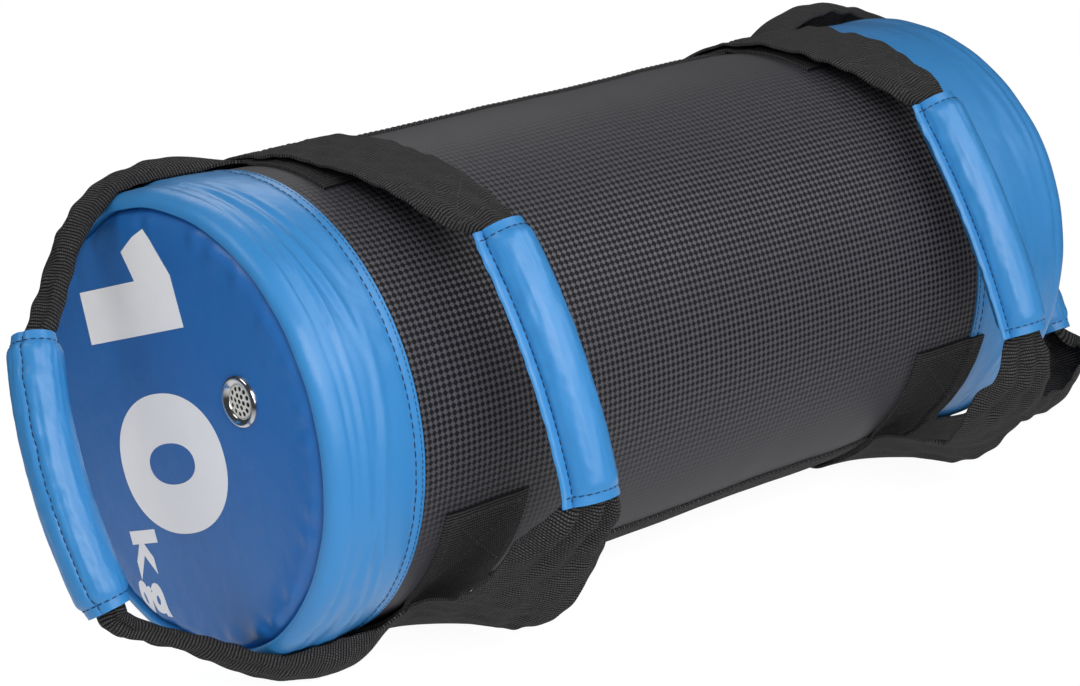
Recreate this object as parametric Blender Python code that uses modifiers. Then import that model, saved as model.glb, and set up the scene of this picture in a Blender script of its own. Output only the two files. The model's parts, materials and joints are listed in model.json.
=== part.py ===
# Sandbag trainer: a padded roll of sand with a cap at each end and four webbing handles.
# The bag's axis runs along X and the near cap is at -X. The floor is z = 0, under the bag's middle.
# The bag lies rolled on its side, so a second set of directions turns with it:
# "front" is where the two long side handles point, and "top" is a quarter turn above it.
import math

import bmesh
import bpy
from mathutils import Matrix, Vector

# Lengths are metres and angles are degrees.

# The whole bag
BAG_RADIUS = 0.110
BAG_LENGTH = 0.500
BAG_ROLL = 30.0
SETTLE_DEPTH = 0.0018
ROUND_FACETS = 48
FIT_GAP = 0.0003
MERGE_DISTANCE = 0.00001
SMOOTH_ANGLE = 35.0
# The floor shapes the skin no further round than this from straight down
UNDERSIDE_ANGLE = 45.0

# The skin: a black sleeve between two coloured caps
NEAR_BAND_WIDTH = 0.051
FAR_BAND_WIDTH = 0.075
SKIN_WALL = 0.0012
BAND_LAP = 0.012
CORNER_RADIUS = 0.0065
CORNER_STEPS = 3
PANEL_CROWN = 0.003
PANEL_FLANGE = 0.006
PANEL_RING_SHARES = (0.78, 0.52, 0.26)

# The filling
DISC_THICKNESS = 0.010
FOAM_WRAP_WALL = 0.0392
SACK_WALL = 0.0008
SACK_NEAR_GAP = 0.0006
SACK_SHOULDER = 0.020
SACK_NECK_RADIUS = 0.0100
SACK_NECK_LENGTH = 0.016
TIE_RADIUS = 0.0020
TIE_SEAT = 0.008
SACK_SHOULDER_SHARES = ((0.40, 0.96), (0.75, 0.72), (1.0, 0.36))
# Where the sand ends, as a share of the sack's shoulder
SAND_TOP_SHARE = 0.20
TIE_RING_FACETS = 24
TIE_CORD_FACETS = 8

# The air vent in the near cap
VENT_OFFSET = 0.057
VENT_FLANGE_RADIUS = 0.0118
VENT_FLANGE_THICKNESS = 0.0012
VENT_LIP = 0.0008
VENT_BARREL_RADIUS = 0.0082
VENT_BARREL_WALL = 0.0008
VENT_BARREL_LENGTH = 0.0055
VENT_WASHER_THICKNESS = 0.0008
VENT_SCREEN_THICKNESS = 0.0006
VENT_SCREEN_DEPTH = 0.0004
VENT_SCREEN_RIM = 0.0010
VENT_HOLE_RADIUS = 0.0007
# Holes round each ring of the screen, from its middle out
VENT_HOLES_IN_RING = (1, 6, 12)
VENT_FACETS = 24
VENT_HOLE_FACETS = 6
VENT_POCKET_MARGIN = 0.0015

# The webbing
WEBBING_WIDTH = 0.050
WEBBING_THICKNESS = 0.0012
HOOP_INSET = 0.091
HOOP_TOP_ANGLE = 46.0
HOOP_BOTTOM_ANGLE = -44.0
CROSSING_MARGIN = 0.0015
CROSSING_RAMP = 0.008
# A hoop has no bend nearer to a crossing's edge than this share of a facet
CROSSING_SNAP_SHARE = 1 / 6
ANGLE_MARGIN = 0.001
STRAP_TAIL = 0.008
SEWN_END_START = 0.006
SEWN_TOP_LENGTH = 0.0185
SEWN_BOTTOM_LENGTH = 0.0135

# The handles: each loop swings about a line through its two sewn roots
END_SWING = 20.0
SIDE_SWING = 12.0
END_ROOT_CLEARANCE = 0.01245
LOOP_THICKNESS = 0.0036
LOOP_RISE_GAP = 0.0006
LOW_END_ROOT_WIDTH = 0.038
LEAD_STATIONS = 10
GRIP_LENGTH = 0.125
GRIP_DIAMETER = 0.024
GRIP_COVER_WALL = 0.0011
GRIP_FIN = 0.005
GRIP_FOAM_WALL = 0.0013
GRIP_END_THICKNESS = 0.012
GRIP_END_TAPER = 0.014
GRIP_FOAM_INSET = 0.0025
GRIP_STATION_SHARES = (0.0, 0.34, 0.66, 1.0)
LOOP_STATION_SHARES = (0.0, 0.25, 0.5, 0.75, 1.0)
GRIP_FACETS = 12
# Where a grip's first facet starts, and how far its sewn fin spreads
GRIP_START_ANGLE = 45.0
GRIP_FIN_ANGLE = 20.0

# Each grip's middle: how far it stands off the bag, its drop towards the lower root,
# its lean in degrees and how far its middle bows out.
NEAR_END_GRIP = {"stand_off": 0.0590, "drop": 0.0030, "lean": 5.5, "bow": 0.0045}
FAR_END_GRIP = {"stand_off": 0.0680, "drop": 0.0245, "lean": 7.0, "bow": 0.0045}
NEAR_SIDE_GRIP = {"stand_off": 0.0335, "drop": 0.0300, "lean": -1.5, "bow": 0.0060}
FAR_SIDE_GRIP = {"stand_off": 0.0190, "drop": 0.0225, "lean": 1.5, "bow": 0.0045}

# Routes from a root to a grip's mouth. An end lead has (share of the reach, share of the rise),
# and a side lead's lower run has (share of the angle, share of the height over the skin).
NEAR_TOP_LEAD_SHARES = ((0.21, -0.060), (0.41, 0.015), (0.59, 0.145), (0.75, 0.39), (0.89, 0.70))
FAR_TOP_LEAD_SHARES = ((0.15, -0.110), (0.30, -0.100), (0.51, -0.028), (0.68, 0.086), (0.84, 0.30),
                       (0.94, 0.60))
NEAR_LOW_LEAD_SHARES = ((0.13, -0.065), (0.25, -0.070), (0.41, 0.0), (0.60, 0.21), (0.74, 0.42), (0.88, 0.69))
FAR_LOW_LEAD_SHARES = ((0.25, -0.11), (0.48, -0.14), (0.71, -0.10), (0.87, 0.04), (0.98, 0.34), (1.01, 0.68))
SIDE_LOW_LEAD_SHARES = ((0.10, 0.23), (0.19, 0.39), (0.32, 0.57), (0.46, 0.69), (0.64, 0.74), (0.80, 0.82))
SIDE_TOP_LEAD_POWER = 5.0
# Where a lead starts to gather from its full width to the grip's mouth
GATHER_START_SHARE = 0.62
LOW_END_GATHER_SHARE = 0.02

COLOURS = {
    "blue_vinyl": ((0.035, 0.235, 0.640), 0.35, 0.0),
    "black_vinyl": ((0.016, 0.016, 0.018), 0.48, 0.0),
    "black_webbing": ((0.012, 0.012, 0.013), 0.85, 0.0),
    "chrome": ((0.75, 0.76, 0.78), 0.18, 1.0),
    "foam": ((0.62, 0.62, 0.58), 0.90, 0.0),
    "sack_cloth": ((0.55, 0.52, 0.45), 0.80, 0.0),
    "tie_cord": ((0.60, 0.58, 0.52), 0.70, 0.0),
    "sand": ((0.52, 0.42, 0.28), 0.95, 0.0),
}

# Worked out from the sizes above
LAYER = FIT_GAP + WEBBING_THICKNESS
HOOP_OFFSET = BAG_LENGTH / 2 - HOOP_INSET
HALF_WEBBING = WEBBING_WIDTH / 2
# An end handle's root may turn END_SWING either way before its corner meets the hoop
END_HINGE_OFFSET = (HOOP_OFFSET + HALF_WEBBING + HALF_WEBBING * math.sin(math.radians(END_SWING))
                    + END_ROOT_CLEARANCE)
END_HINGE_INSET = BAG_LENGTH / 2 - END_HINGE_OFFSET
FOAM_DIAMETER = GRIP_DIAMETER - 2 * (GRIP_COVER_WALL + FIT_GAP)
LOOP_WIDTH = FOAM_DIAMETER - 2 * (GRIP_FOAM_WALL + FIT_GAP)
AXIS_HEIGHT = BAG_RADIUS - SETTLE_DEPTH
NEAR_END = -BAG_LENGTH / 2
FAR_END = BAG_LENGTH / 2
NEAR_BORDER = NEAR_END + NEAR_BAND_WIDTH
FAR_BORDER = FAR_END - FAR_BAND_WIDTH
LAP_RADIUS = BAG_RADIUS - SKIN_WALL - FIT_GAP
LINING_RADIUS = LAP_RADIUS - SKIN_WALL
SACK_RADIUS = LINING_RADIUS - FIT_GAP - FOAM_WRAP_WALL - SACK_WALL
SETTLED_CORE_RADIUS = (LINING_RADIUS + SACK_RADIUS) / 2
SEAM_RADIUS = BAG_RADIUS - CORNER_RADIUS
PANEL_RADIUS = SEAM_RADIUS - FIT_GAP
TOP_ANGLE = 90.0 + BAG_ROLL
LOW_ANGLE = TOP_ANGLE - 180.0
QUARTER_TURN = 90.0
HALF_TURN = 180.0
FULL_TURN = 360.0
FACET_ANGLE = FULL_TURN / ROUND_FACETS

FRONT = Vector((0.0, -math.cos(math.radians(BAG_ROLL)), math.sin(math.radians(BAG_ROLL))))
TOP = Vector((0.0, math.sin(math.radians(BAG_ROLL)), math.cos(math.radians(BAG_ROLL))))
ALONG = Vector((1.0, 0.0, 0.0))
AXIS_POINT = Vector((0.0, 0.0, AXIS_HEIGHT))

for old in list(bpy.data.objects):
    bpy.data.objects.remove(old, do_unlink=True)

part = bpy.data.collections.new("sandbag_trainer")
bpy.context.scene.collection.children.link(part)
cutters = bpy.data.collections.new("cutters")
bpy.context.scene.collection.children.link(cutters)


def material(name):
    found = bpy.data.materials.get(name)
    if found:
        return found
    colour, roughness, metallic = COLOURS[name]
    made = bpy.data.materials.new(name)
    made.use_nodes = True
    shader = made.node_tree.nodes["Principled BSDF"]
    shader.inputs["Base Color"].default_value = (*colour, 1.0)
    shader.inputs["Roughness"].default_value = roughness
    shader.inputs["Metallic"].default_value = metallic
    return made


def add_object(name, mesh, finish, place=Matrix.Identity(4), parent=None):
    made = bpy.data.objects.new(name, mesh)
    part.objects.link(made)
    made.data.materials.append(material(finish))
    made.parent = parent
    made.matrix_local = place
    mesh.shade_smooth()
    mesh.set_sharp_from_angle(angle=math.radians(SMOOTH_ANGLE))
    return made


def evaluated_mesh(made):
    graph = bpy.context.evaluated_depsgraph_get()
    return bpy.data.meshes.new_from_object(made.evaluated_get(graph))


def tidied(mesh):
    work = bmesh.new()
    work.from_mesh(mesh)
    bmesh.ops.remove_doubles(work, verts=work.verts, dist=MERGE_DISTANCE)
    bmesh.ops.recalc_face_normals(work, faces=work.faces)
    work.to_mesh(mesh)
    work.free()
    return mesh


def turned_mesh(name, outline, facets=ROUND_FACETS):
    # The outline is (x, radius) points: a closed loop, or a run whose ends lie on the axis.
    on_axis = outline[0][1] == 0
    profile = bpy.data.meshes.new(name + "_profile")
    points = [(x, 0.0, -radius) for x, radius in outline]
    edges = [(i, i + 1) for i in range(len(points) - 1)]
    if not on_axis:
        edges.append((len(points) - 1, 0))
    profile.from_pydata(points, edges, [])
    guide = bpy.data.objects.new(name + "_profile", profile)
    part.objects.link(guide)
    screw = guide.modifiers.new("turn", "SCREW")
    screw.axis = "X"
    screw.angle = math.radians(FULL_TURN)
    screw.steps = facets
    screw.render_steps = facets
    screw.use_merge_vertices = True
    screw.merge_threshold = MERGE_DISTANCE
    mesh = evaluated_mesh(guide)
    bpy.data.objects.remove(guide, do_unlink=True)
    bpy.data.meshes.remove(profile)
    mesh.name = name
    return tidied(mesh)


def settle(mesh, extra):
    # Flattens the underside where the bag lies. extra(x, radius) is how much deeper a layer sits.
    for vertex in mesh.vertices:
        radius = math.hypot(vertex.co.y, vertex.co.z)
        if radius < SETTLED_CORE_RADIUS or vertex.co.z >= 0:
            continue
        below = math.degrees(math.acos(min(1.0, -vertex.co.z / radius)))
        if below > UNDERSIDE_ANGLE:
            continue
        limit = AXIS_HEIGHT / math.cos(math.radians(below)) - extra(vertex.co.x, radius)
        push = max(0.0, BAG_RADIUS - limit)
        factor = (radius - push) / radius
        vertex.co.y *= factor
        vertex.co.z *= factor
    return mesh


def facet_radius(radius, angle):
    # The distance to a flat facet of the round body, at any angle round it
    across = (angle % FACET_ANGLE) - FACET_ANGLE / 2
    return radius * math.cos(math.radians(FACET_ANGLE / 2)) / math.cos(math.radians(across))


def ring_point(x, radius, angle):
    turn = math.radians(angle)
    return Vector((x, -radius * math.cos(turn), radius * math.sin(turn)))


def at_axis():
    return Matrix.Translation(AXIS_POINT)


def under_a_hoop(x):
    return abs(abs(x) - HOOP_OFFSET) < HALF_WEBBING + CROSSING_MARGIN


def sleeve_depth(x, radius):
    if x < NEAR_BORDER:
        return lap_depth(NEAR_BORDER)
    if x > FAR_BORDER:
        return lap_depth(FAR_BORDER)
    if radius < BAG_RADIUS - FIT_GAP or under_a_hoop(x):
        return LAYER
    return 0.0


def lap_depth(border):
    return LAYER if under_a_hoop(border) else 0.0


def band_depth(x, radius):
    # Where a hoop crosses a cap's border, the band and the lap under it sink by the hoop's layer
    if radius > BAG_RADIUS - FIT_GAP:
        return LAYER if under_a_hoop(x) else 0.0
    border = NEAR_BORDER if x < 0 else FAR_BORDER
    in_lap = abs(x - border) < BAND_LAP + 2 * FIT_GAP
    return lap_depth(border) if in_lap else 0.0


def no_extra(x, radius):
    return 0.0


def lining_depth(x, radius):
    return LAYER


def hoop_stations(first, last):
    # Where the skin's underside steps in and out beside each hoop, between two places along the bag
    stations = []
    for middle in (-HOOP_OFFSET, HOOP_OFFSET):
        for reach in (HALF_WEBBING + FIT_GAP, HALF_WEBBING + 2 * CROSSING_MARGIN):
            stations += [middle - reach, middle + reach]
    return [x for x in sorted(stations) if first + 2 * FIT_GAP < x < last - 2 * FIT_GAP]


def build_sleeve():
    outline = [
        (NEAR_BORDER - BAND_LAP, LINING_RADIUS),
        (NEAR_BORDER - BAND_LAP, LAP_RADIUS),
        (NEAR_BORDER + FIT_GAP, LAP_RADIUS),
        (NEAR_BORDER + FIT_GAP, BAG_RADIUS),
    ]
    outline += [(x, BAG_RADIUS) for x in hoop_stations(NEAR_BORDER, FAR_BORDER)]
    outline += [
        (FAR_BORDER - FIT_GAP, BAG_RADIUS),
        (FAR_BORDER - FIT_GAP, LAP_RADIUS),
        (FAR_BORDER + BAND_LAP, LAP_RADIUS),
        (FAR_BORDER + BAND_LAP, LINING_RADIUS),
    ]
    mesh = settle(turned_mesh("body_sleeve", outline), sleeve_depth)
    add_object("body_sleeve", mesh, "black_vinyl", at_axis())


def build_band(name, border, end):
    # A cap's side, rolled over at the corner to its seam with the round end panel
    inward = 1.0 if end < border else -1.0
    centre_x = end + inward * CORNER_RADIUS
    outer = [(border, BAG_RADIUS)]
    inner_radius = BAG_RADIUS - SKIN_WALL
    inner = [(border, inner_radius), (border - inward * (BAND_LAP + FIT_GAP), inner_radius)]
    stations = hoop_stations(min(border, centre_x), max(border, centre_x))
    outer += [(x, BAG_RADIUS) for x in (stations if border < end else stations[::-1])]
    for step in range(CORNER_STEPS + 1):
        turn = math.radians(QUARTER_TURN * step / CORNER_STEPS)
        for run, radius in ((outer, CORNER_RADIUS), (inner, CORNER_RADIUS - SKIN_WALL)):
            run.append((centre_x - inward * radius * math.sin(turn), SEAM_RADIUS + radius * math.cos(turn)))
    mesh = settle(turned_mesh(name, outer + inner[::-1]), band_depth)
    add_object(name, mesh, "blue_vinyl", at_axis())


def crown_height(radius):
    return PANEL_CROWN * (1.0 - (radius / PANEL_RADIUS) ** 2)


def panel_surface(end, outward, radius, depth):
    return end + outward * (crown_height(radius) - depth)


def build_panel(name, end, outward):
    outer = [(end, PANEL_RADIUS)]
    inner = [(end - outward * SKIN_WALL, PANEL_RADIUS - SKIN_WALL)]
    for share in PANEL_RING_SHARES:
        radius = share * PANEL_RADIUS
        outer.append((panel_surface(end, outward, radius, 0.0), radius))
        inner.append((panel_surface(end, outward, radius, SKIN_WALL), radius))
    outer.append((panel_surface(end, outward, 0.0, 0.0), 0.0))
    inner.append((panel_surface(end, outward, 0.0, SKIN_WALL), 0.0))
    flange = [
        (end - outward * PANEL_FLANGE, PANEL_RADIUS),
        (end - outward * PANEL_FLANGE, PANEL_RADIUS - SKIN_WALL),
    ]
    mesh = settle(turned_mesh(name, outer[::-1] + flange + inner), no_extra)
    return add_object(name, mesh, "blue_vinyl", at_axis())


def build_foam_disc(name, end, outward):
    radius = PANEL_RADIUS - SKIN_WALL - FIT_GAP
    depth = SKIN_WALL + FIT_GAP
    face = [(panel_surface(end, outward, 0.0, depth), 0.0)]
    for share in PANEL_RING_SHARES[::-1]:
        face.append((panel_surface(end, outward, share * PANEL_RADIUS, depth), share * PANEL_RADIUS))
    face.append((end - outward * depth, radius))
    back = end - outward * (depth + DISC_THICKNESS)
    face.append((back, radius))
    face.append((back, 0.0))
    mesh = settle(turned_mesh(name, face), no_extra)
    return add_object(name, mesh, "foam", at_axis())


def filling_ends():
    reach = SKIN_WALL + FIT_GAP + DISC_THICKNESS + FIT_GAP
    return NEAR_END + reach, FAR_END - reach


def build_filling():
    near, far = filling_ends()
    outer = LINING_RADIUS - FIT_GAP
    bore = SACK_RADIUS + SACK_WALL
    outline = [(near, bore), (near, outer), (far, outer), (far, bore)]
    add_object("foam_wrap", settle(turned_mesh("foam_wrap", outline), lining_depth), "foam", at_axis())

    shoulder = far - SACK_NECK_LENGTH - SACK_SHOULDER
    start = near + SACK_NEAR_GAP
    outside = [(start, 0.0), (start, SACK_RADIUS), (shoulder, SACK_RADIUS)]
    inside = [(start + SACK_WALL, 0.0), (start + SACK_WALL, SACK_RADIUS - SACK_WALL)]
    inside.append((shoulder, SACK_RADIUS - SACK_WALL))
    for run, fall in SACK_SHOULDER_SHARES:
        x = shoulder + run * SACK_SHOULDER
        outside.append((x, max(fall * SACK_RADIUS, SACK_NECK_RADIUS)))
        inside.append((x, max(fall * SACK_RADIUS, SACK_NECK_RADIUS) - SACK_WALL))
    neck_start = shoulder + SACK_SHOULDER + SACK_WALL
    outside += [(neck_start, SACK_NECK_RADIUS), (far - FIT_GAP, SACK_NECK_RADIUS)]
    inside += [(neck_start, SACK_NECK_RADIUS - SACK_WALL), (far - FIT_GAP, SACK_NECK_RADIUS - SACK_WALL)]
    add_object("sand_sack", turned_mesh("sand_sack", outside + inside[::-1]), "sack_cloth", at_axis())

    fill = SACK_RADIUS - SACK_WALL - FIT_GAP
    sand = [(start + SACK_WALL + FIT_GAP, 0.0), (start + SACK_WALL + FIT_GAP, fill)]
    sand += [(shoulder - FIT_GAP, fill), (shoulder + SACK_SHOULDER * SAND_TOP_SHARE, 0.0)]
    add_object("sand_fill", turned_mesh("sand_fill", sand), "sand", at_axis())

    tie_x = neck_start + TIE_SEAT
    tie_ring = SACK_NECK_RADIUS + FIT_GAP + TIE_RADIUS
    bpy.ops.mesh.primitive_torus_add(
        major_radius=tie_ring, minor_radius=TIE_RADIUS,
        major_segments=TIE_RING_FACETS, minor_segments=TIE_CORD_FACETS)
    ring = bpy.context.object
    mesh = ring.data.copy()
    bpy.data.objects.remove(ring, do_unlink=True)
    mesh.transform(Matrix.Rotation(math.radians(QUARTER_TURN), 4, "Y"))
    place = Matrix.Translation(AXIS_POINT + Vector((tie_x, 0.0, 0.0)))
    add_object("sack_tie", mesh, "tie_cord", place)


def build_long_strap(name, angle):
    # Lies along the skin from cap to cap; its ends run on under the roots of the end handles
    half = math.degrees(HALF_WEBBING / (BAG_RADIUS + LAYER))
    angles = [angle - half, angle - FACET_ANGLE, angle, angle + FACET_ANGLE, angle + half]
    reach = END_HINGE_OFFSET + STRAP_TAIL
    build_draped(name, [-reach, reach], angles, lambda turn: facet_radius(BAG_RADIUS + FIT_GAP, turn))


def build_draped(name, stations, angles, radius_at):
    # A strap on the round skin: a grid laid at the radius that radius_at gives, thickened outwards
    work = bmesh.new()
    bmesh.ops.create_grid(work, x_segments=len(stations) - 1, y_segments=len(angles) - 1, size=0.5)
    for vertex in work.verts:
        station = stations[round((vertex.co.x + 0.5) * (len(stations) - 1))]
        turn = angles[round((vertex.co.y + 0.5) * (len(angles) - 1))]
        vertex.co = ring_point(station, radius_at(turn), turn)
    work.normal_update()
    for face in work.faces:
        outward = Vector((0.0, *face.calc_center_median()[1:]))
        if face.normal.dot(outward) < 0:
            face.normal_flip()
    mesh = bpy.data.meshes.new(name)
    work.to_mesh(mesh)
    work.free()
    made = add_object(name, mesh, "black_webbing", at_axis())
    shell = made.modifiers.new("webbing", "SOLIDIFY")
    shell.thickness = WEBBING_THICKNESS
    shell.offset = 1.0
    shell.use_even_offset = True
    return made


def crossing_angles(angle):
    edge = math.degrees((HALF_WEBBING + CROSSING_MARGIN) / BAG_RADIUS)
    ramp = math.degrees((HALF_WEBBING + CROSSING_MARGIN + CROSSING_RAMP) / BAG_RADIUS)
    return angle - ramp, angle - edge, angle + edge, angle + ramp


def over_crossing(turn):
    for middle in (TOP_ANGLE, LOW_ANGLE + FULL_TURN):
        _, first, last, _ = crossing_angles(middle)
        if first - ANGLE_MARGIN <= turn <= last + ANGLE_MARGIN:
            return True
    return False


def hoop_radius(turn):
    radius = BAG_RADIUS + FIT_GAP
    if over_crossing(turn):
        return facet_radius(radius + LAYER, turn)
    below = abs((turn + QUARTER_TURN + HALF_TURN) % FULL_TURN - HALF_TURN)
    if below < UNDERSIDE_ANGLE:
        floor_limit = AXIS_HEIGHT / math.cos(math.radians(below)) - WEBBING_THICKNESS
        return min(facet_radius(radius, turn), floor_limit)
    return facet_radius(radius, turn)


def build_hoop(name, middle_x):
    # Wraps round the back of the bag, over both long straps; its two ends show at the front
    first = BAG_ROLL + HOOP_TOP_ANGLE
    last = BAG_ROLL + HOOP_BOTTOM_ANGLE + FULL_TURN
    angles = [first, last]
    count = int((last - first) / FACET_ANGLE) + 1
    for step in range(1, count + 1):
        turn = (math.floor(first / FACET_ANGLE) + step) * FACET_ANGLE
        crossing = any(abs(turn - edge) < FACET_ANGLE * CROSSING_SNAP_SHARE
                       for middle in (TOP_ANGLE, LOW_ANGLE + FULL_TURN) for edge in crossing_angles(middle))
        if first < turn < last and not crossing:
            angles.append(turn)
    for middle in (TOP_ANGLE, LOW_ANGLE + FULL_TURN):
        angles += crossing_angles(middle)
    stations = [middle_x - HALF_WEBBING, middle_x + HALF_WEBBING]
    build_draped(name, stations, sorted(angles), hoop_radius)


def build_sewn_end(name, middle_x, angle, length):
    # The sewn tail of a side handle, on the hoop and just past the handle's hinge line
    start = math.degrees(SEWN_END_START / BAG_RADIUS)
    end = math.degrees((SEWN_END_START + length) / BAG_RADIUS)
    away = 1.0 if angle > 0 else -1.0
    turns = sorted(angle + away * turn for turn in (start, FACET_ANGLE, end))
    stations = [middle_x - HALF_WEBBING, middle_x + HALF_WEBBING]
    radius = BAG_RADIUS + FIT_GAP + 2 * LAYER
    build_draped(name, stations, turns, lambda turn: facet_radius(radius, turn))


def add_cutter(name, radius, depth, place, facets):
    bpy.ops.mesh.primitive_cylinder_add(vertices=facets, radius=radius, depth=depth)
    cutter = bpy.context.object
    cutter.name = name
    cutter.matrix_world = place
    for owner in list(cutter.users_collection):
        owner.objects.unlink(cutter)
    cutters.objects.link(cutter)
    cutter.hide_render = True
    cutter.display_type = "WIRE"
    return cutter


def cut(target, cutter):
    boolean = target.modifiers.new("cut", "BOOLEAN")
    boolean.operation = "DIFFERENCE"
    boolean.solver = "EXACT"
    boolean.object = cutter


def lathe_at(name, outline, finish, place, facets):
    return add_object(name, turned_mesh(name, outline, facets), finish, place)


def build_vent(panel, foam_disc):
    # The vent's own axis is the bag's; in its frame x = 0 is the panel's outer face and -x is outside
    face_x = panel_surface(NEAR_END, -1.0, VENT_OFFSET - VENT_FLANGE_RADIUS, 0.0)
    place = Matrix.Translation(AXIS_POINT + FRONT * VENT_OFFSET + ALONG * face_x)
    hole = VENT_BARREL_RADIUS + FIT_GAP
    bore = VENT_BARREL_RADIUS - VENT_BARREL_WALL
    rim = VENT_FLANGE_RADIUS - VENT_LIP
    flange = [
        (-FIT_GAP, VENT_FLANGE_RADIUS),
        (-FIT_GAP - VENT_FLANGE_THICKNESS / 2, VENT_FLANGE_RADIUS),
        (-FIT_GAP - VENT_FLANGE_THICKNESS, rim),
        (-FIT_GAP - VENT_FLANGE_THICKNESS, VENT_BARREL_RADIUS),
        (-FIT_GAP, bore),
        (VENT_BARREL_LENGTH, bore),
        (VENT_BARREL_LENGTH, VENT_BARREL_RADIUS),
        (-FIT_GAP, VENT_BARREL_RADIUS),
    ]
    lathe_at("vent_flange", flange, "chrome", place, VENT_FACETS)
    washer_x = SKIN_WALL + FIT_GAP + crown_height(VENT_OFFSET - VENT_FLANGE_RADIUS) \
        - crown_height(VENT_OFFSET + VENT_FLANGE_RADIUS)
    washer = [
        (washer_x, hole),
        (washer_x, VENT_FLANGE_RADIUS),
        (washer_x + VENT_WASHER_THICKNESS, VENT_FLANGE_RADIUS),
        (washer_x + VENT_WASHER_THICKNESS, hole),
    ]
    lathe_at("vent_washer", washer, "chrome", place, VENT_FACETS)

    screen_radius = bore - FIT_GAP
    screen = [
        (VENT_SCREEN_DEPTH, 0.0),
        (VENT_SCREEN_DEPTH, screen_radius),
        (VENT_SCREEN_DEPTH + VENT_SCREEN_THICKNESS, screen_radius),
        (VENT_SCREEN_DEPTH + VENT_SCREEN_THICKNESS, 0.0),
    ]
    screen_object = lathe_at("vent_screen", screen, "chrome", place, VENT_FACETS)
    turn = Matrix.Rotation(math.radians(QUARTER_TURN), 4, "Y")
    through = 4 * VENT_SCREEN_THICKNESS
    pitch = (screen_radius - VENT_SCREEN_RIM - VENT_HOLE_RADIUS) / (len(VENT_HOLES_IN_RING) - 1)
    pins = bmesh.new()
    for ring, count in enumerate(VENT_HOLES_IN_RING):
        for step in range(count):
            spin = math.radians(FULL_TURN * step / count)
            offset = Matrix.Translation((0.0, ring * pitch * math.cos(spin), ring * pitch * math.sin(spin)))
            bmesh.ops.create_cone(pins, cap_ends=True, segments=VENT_HOLE_FACETS, radius1=VENT_HOLE_RADIUS,
                                  radius2=VENT_HOLE_RADIUS, depth=through, matrix=offset @ turn)
    pin_mesh = bpy.data.meshes.new("vent_holes")
    pins.to_mesh(pin_mesh)
    pins.free()
    holes = bpy.data.objects.new("vent_holes", pin_mesh)
    holes.matrix_world = place @ Matrix.Translation((VENT_SCREEN_DEPTH, 0.0, 0.0))
    cutters.objects.link(holes)
    holes.hide_render = True
    holes.display_type = "WIRE"
    cut(screen_object, holes)

    depth = 2 * (SKIN_WALL + PANEL_CROWN)
    cut(panel, add_cutter("vent_hole", hole, depth, place @ turn, VENT_FACETS))
    pocket_depth = 4 * DISC_THICKNESS
    pocket = VENT_FLANGE_RADIUS + VENT_POCKET_MARGIN
    cut(foam_disc, add_cutter("vent_pocket", pocket, pocket_depth, place @ turn, VENT_FACETS))


def curve_through(points, steps):
    # A smooth curve through the points, as even steps of a Catmull-Rom spline
    ends = [points[0] * 2 - points[1]] + list(points) + [points[-1] * 2 - points[-2]]
    made = []
    spans = len(points) - 1
    for step in range(steps + 1):
        place = step * spans / steps
        span = min(int(place), spans - 1)
        t = place - span
        a, b, c, d = ends[span:span + 4]
        made.append(0.5 * (2 * b + (c - a) * t + (2 * a - 5 * b + 4 * c - d) * t * t
                           + (3 * b - a - 3 * c + d) * t * t * t))
    return made


def grip_line(grip, carrier, shares):
    # Points down the grip's middle, from its upper mouth to its lower mouth, as (out, up).
    # carrier is how far out the bag itself reaches from the hinge line.
    lean = math.radians(grip["lean"])
    down = Vector((math.sin(lean), -math.cos(lean)))
    bulge = Vector((math.cos(lean), math.sin(lean)))
    middle = Vector((carrier + grip["stand_off"], -grip["drop"]))
    points = []
    for share in shares:
        along = (share - 0.5) * GRIP_LENGTH
        bow = grip["bow"] * (1.0 - (2.0 * share - 1.0) ** 2)
        points.append(middle + down * along + bulge * bow)
    return points


def end_lead(root_height, mouth, shares, up):
    # From a root on the hinge line to a grip's mouth, both as (out, up)
    root = Vector((0.0, up * root_height))
    points = [root]
    for run, rise in shares:
        points.append(Vector((run * mouth.x, root.y + rise * (mouth.y - root.y))))
    points.append(mouth)
    return points


def side_top_lead(root_height, mouth):
    # Follows the skin, lifting as it leaves the root so that it clears the bag when it swings
    swing = math.radians(SIDE_SWING)
    mouth_angle = math.atan2(mouth.x, mouth.y)
    mouth_height = mouth.length - BAG_RADIUS

    def clear_height(angle):
        edge_dip = HALF_WEBBING * math.sin(swing) * math.sin(angle)
        arc_dip = BAG_RADIUS * (math.sin(angle) * math.sin(swing)) ** 2 / 2
        return root_height - BAG_RADIUS + edge_dip + arc_dip

    rest = mouth_height - clear_height(mouth_angle)
    points = []
    for step in range(LEAD_STATIONS + 1):
        share = step / LEAD_STATIONS
        angle = mouth_angle * share
        radius = BAG_RADIUS + clear_height(angle) + rest * share ** SIDE_TOP_LEAD_POWER
        points.append(Vector((radius * math.sin(angle), radius * math.cos(angle))))
    return points


def side_low_lead(root_height, mouth):
    # Slack webbing that hangs from the grip's lower mouth and turns back under the bag
    mouth_angle = math.atan2(mouth.x, -mouth.y)
    mouth_height = mouth.length - root_height
    points = [Vector((0.0, -root_height))]
    for run, rise in SIDE_LOW_LEAD_SHARES:
        radius = root_height + rise * mouth_height
        angle = run * mouth_angle
        points.append(Vector((radius * math.sin(angle), -radius * math.cos(angle))))
    points.append(mouth)
    return points


def gathered(share, start_share, wide):
    # The webbing's width and thickness at this share of a lead, folding up towards the mouth
    fold = max(0.0, (share - start_share) / (1.0 - start_share))
    width = wide + (LOOP_WIDTH - wide) * fold
    thickness = WEBBING_THICKNESS + (LOOP_THICKNESS - WEBBING_THICKNESS) * fold
    return width, thickness


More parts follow.
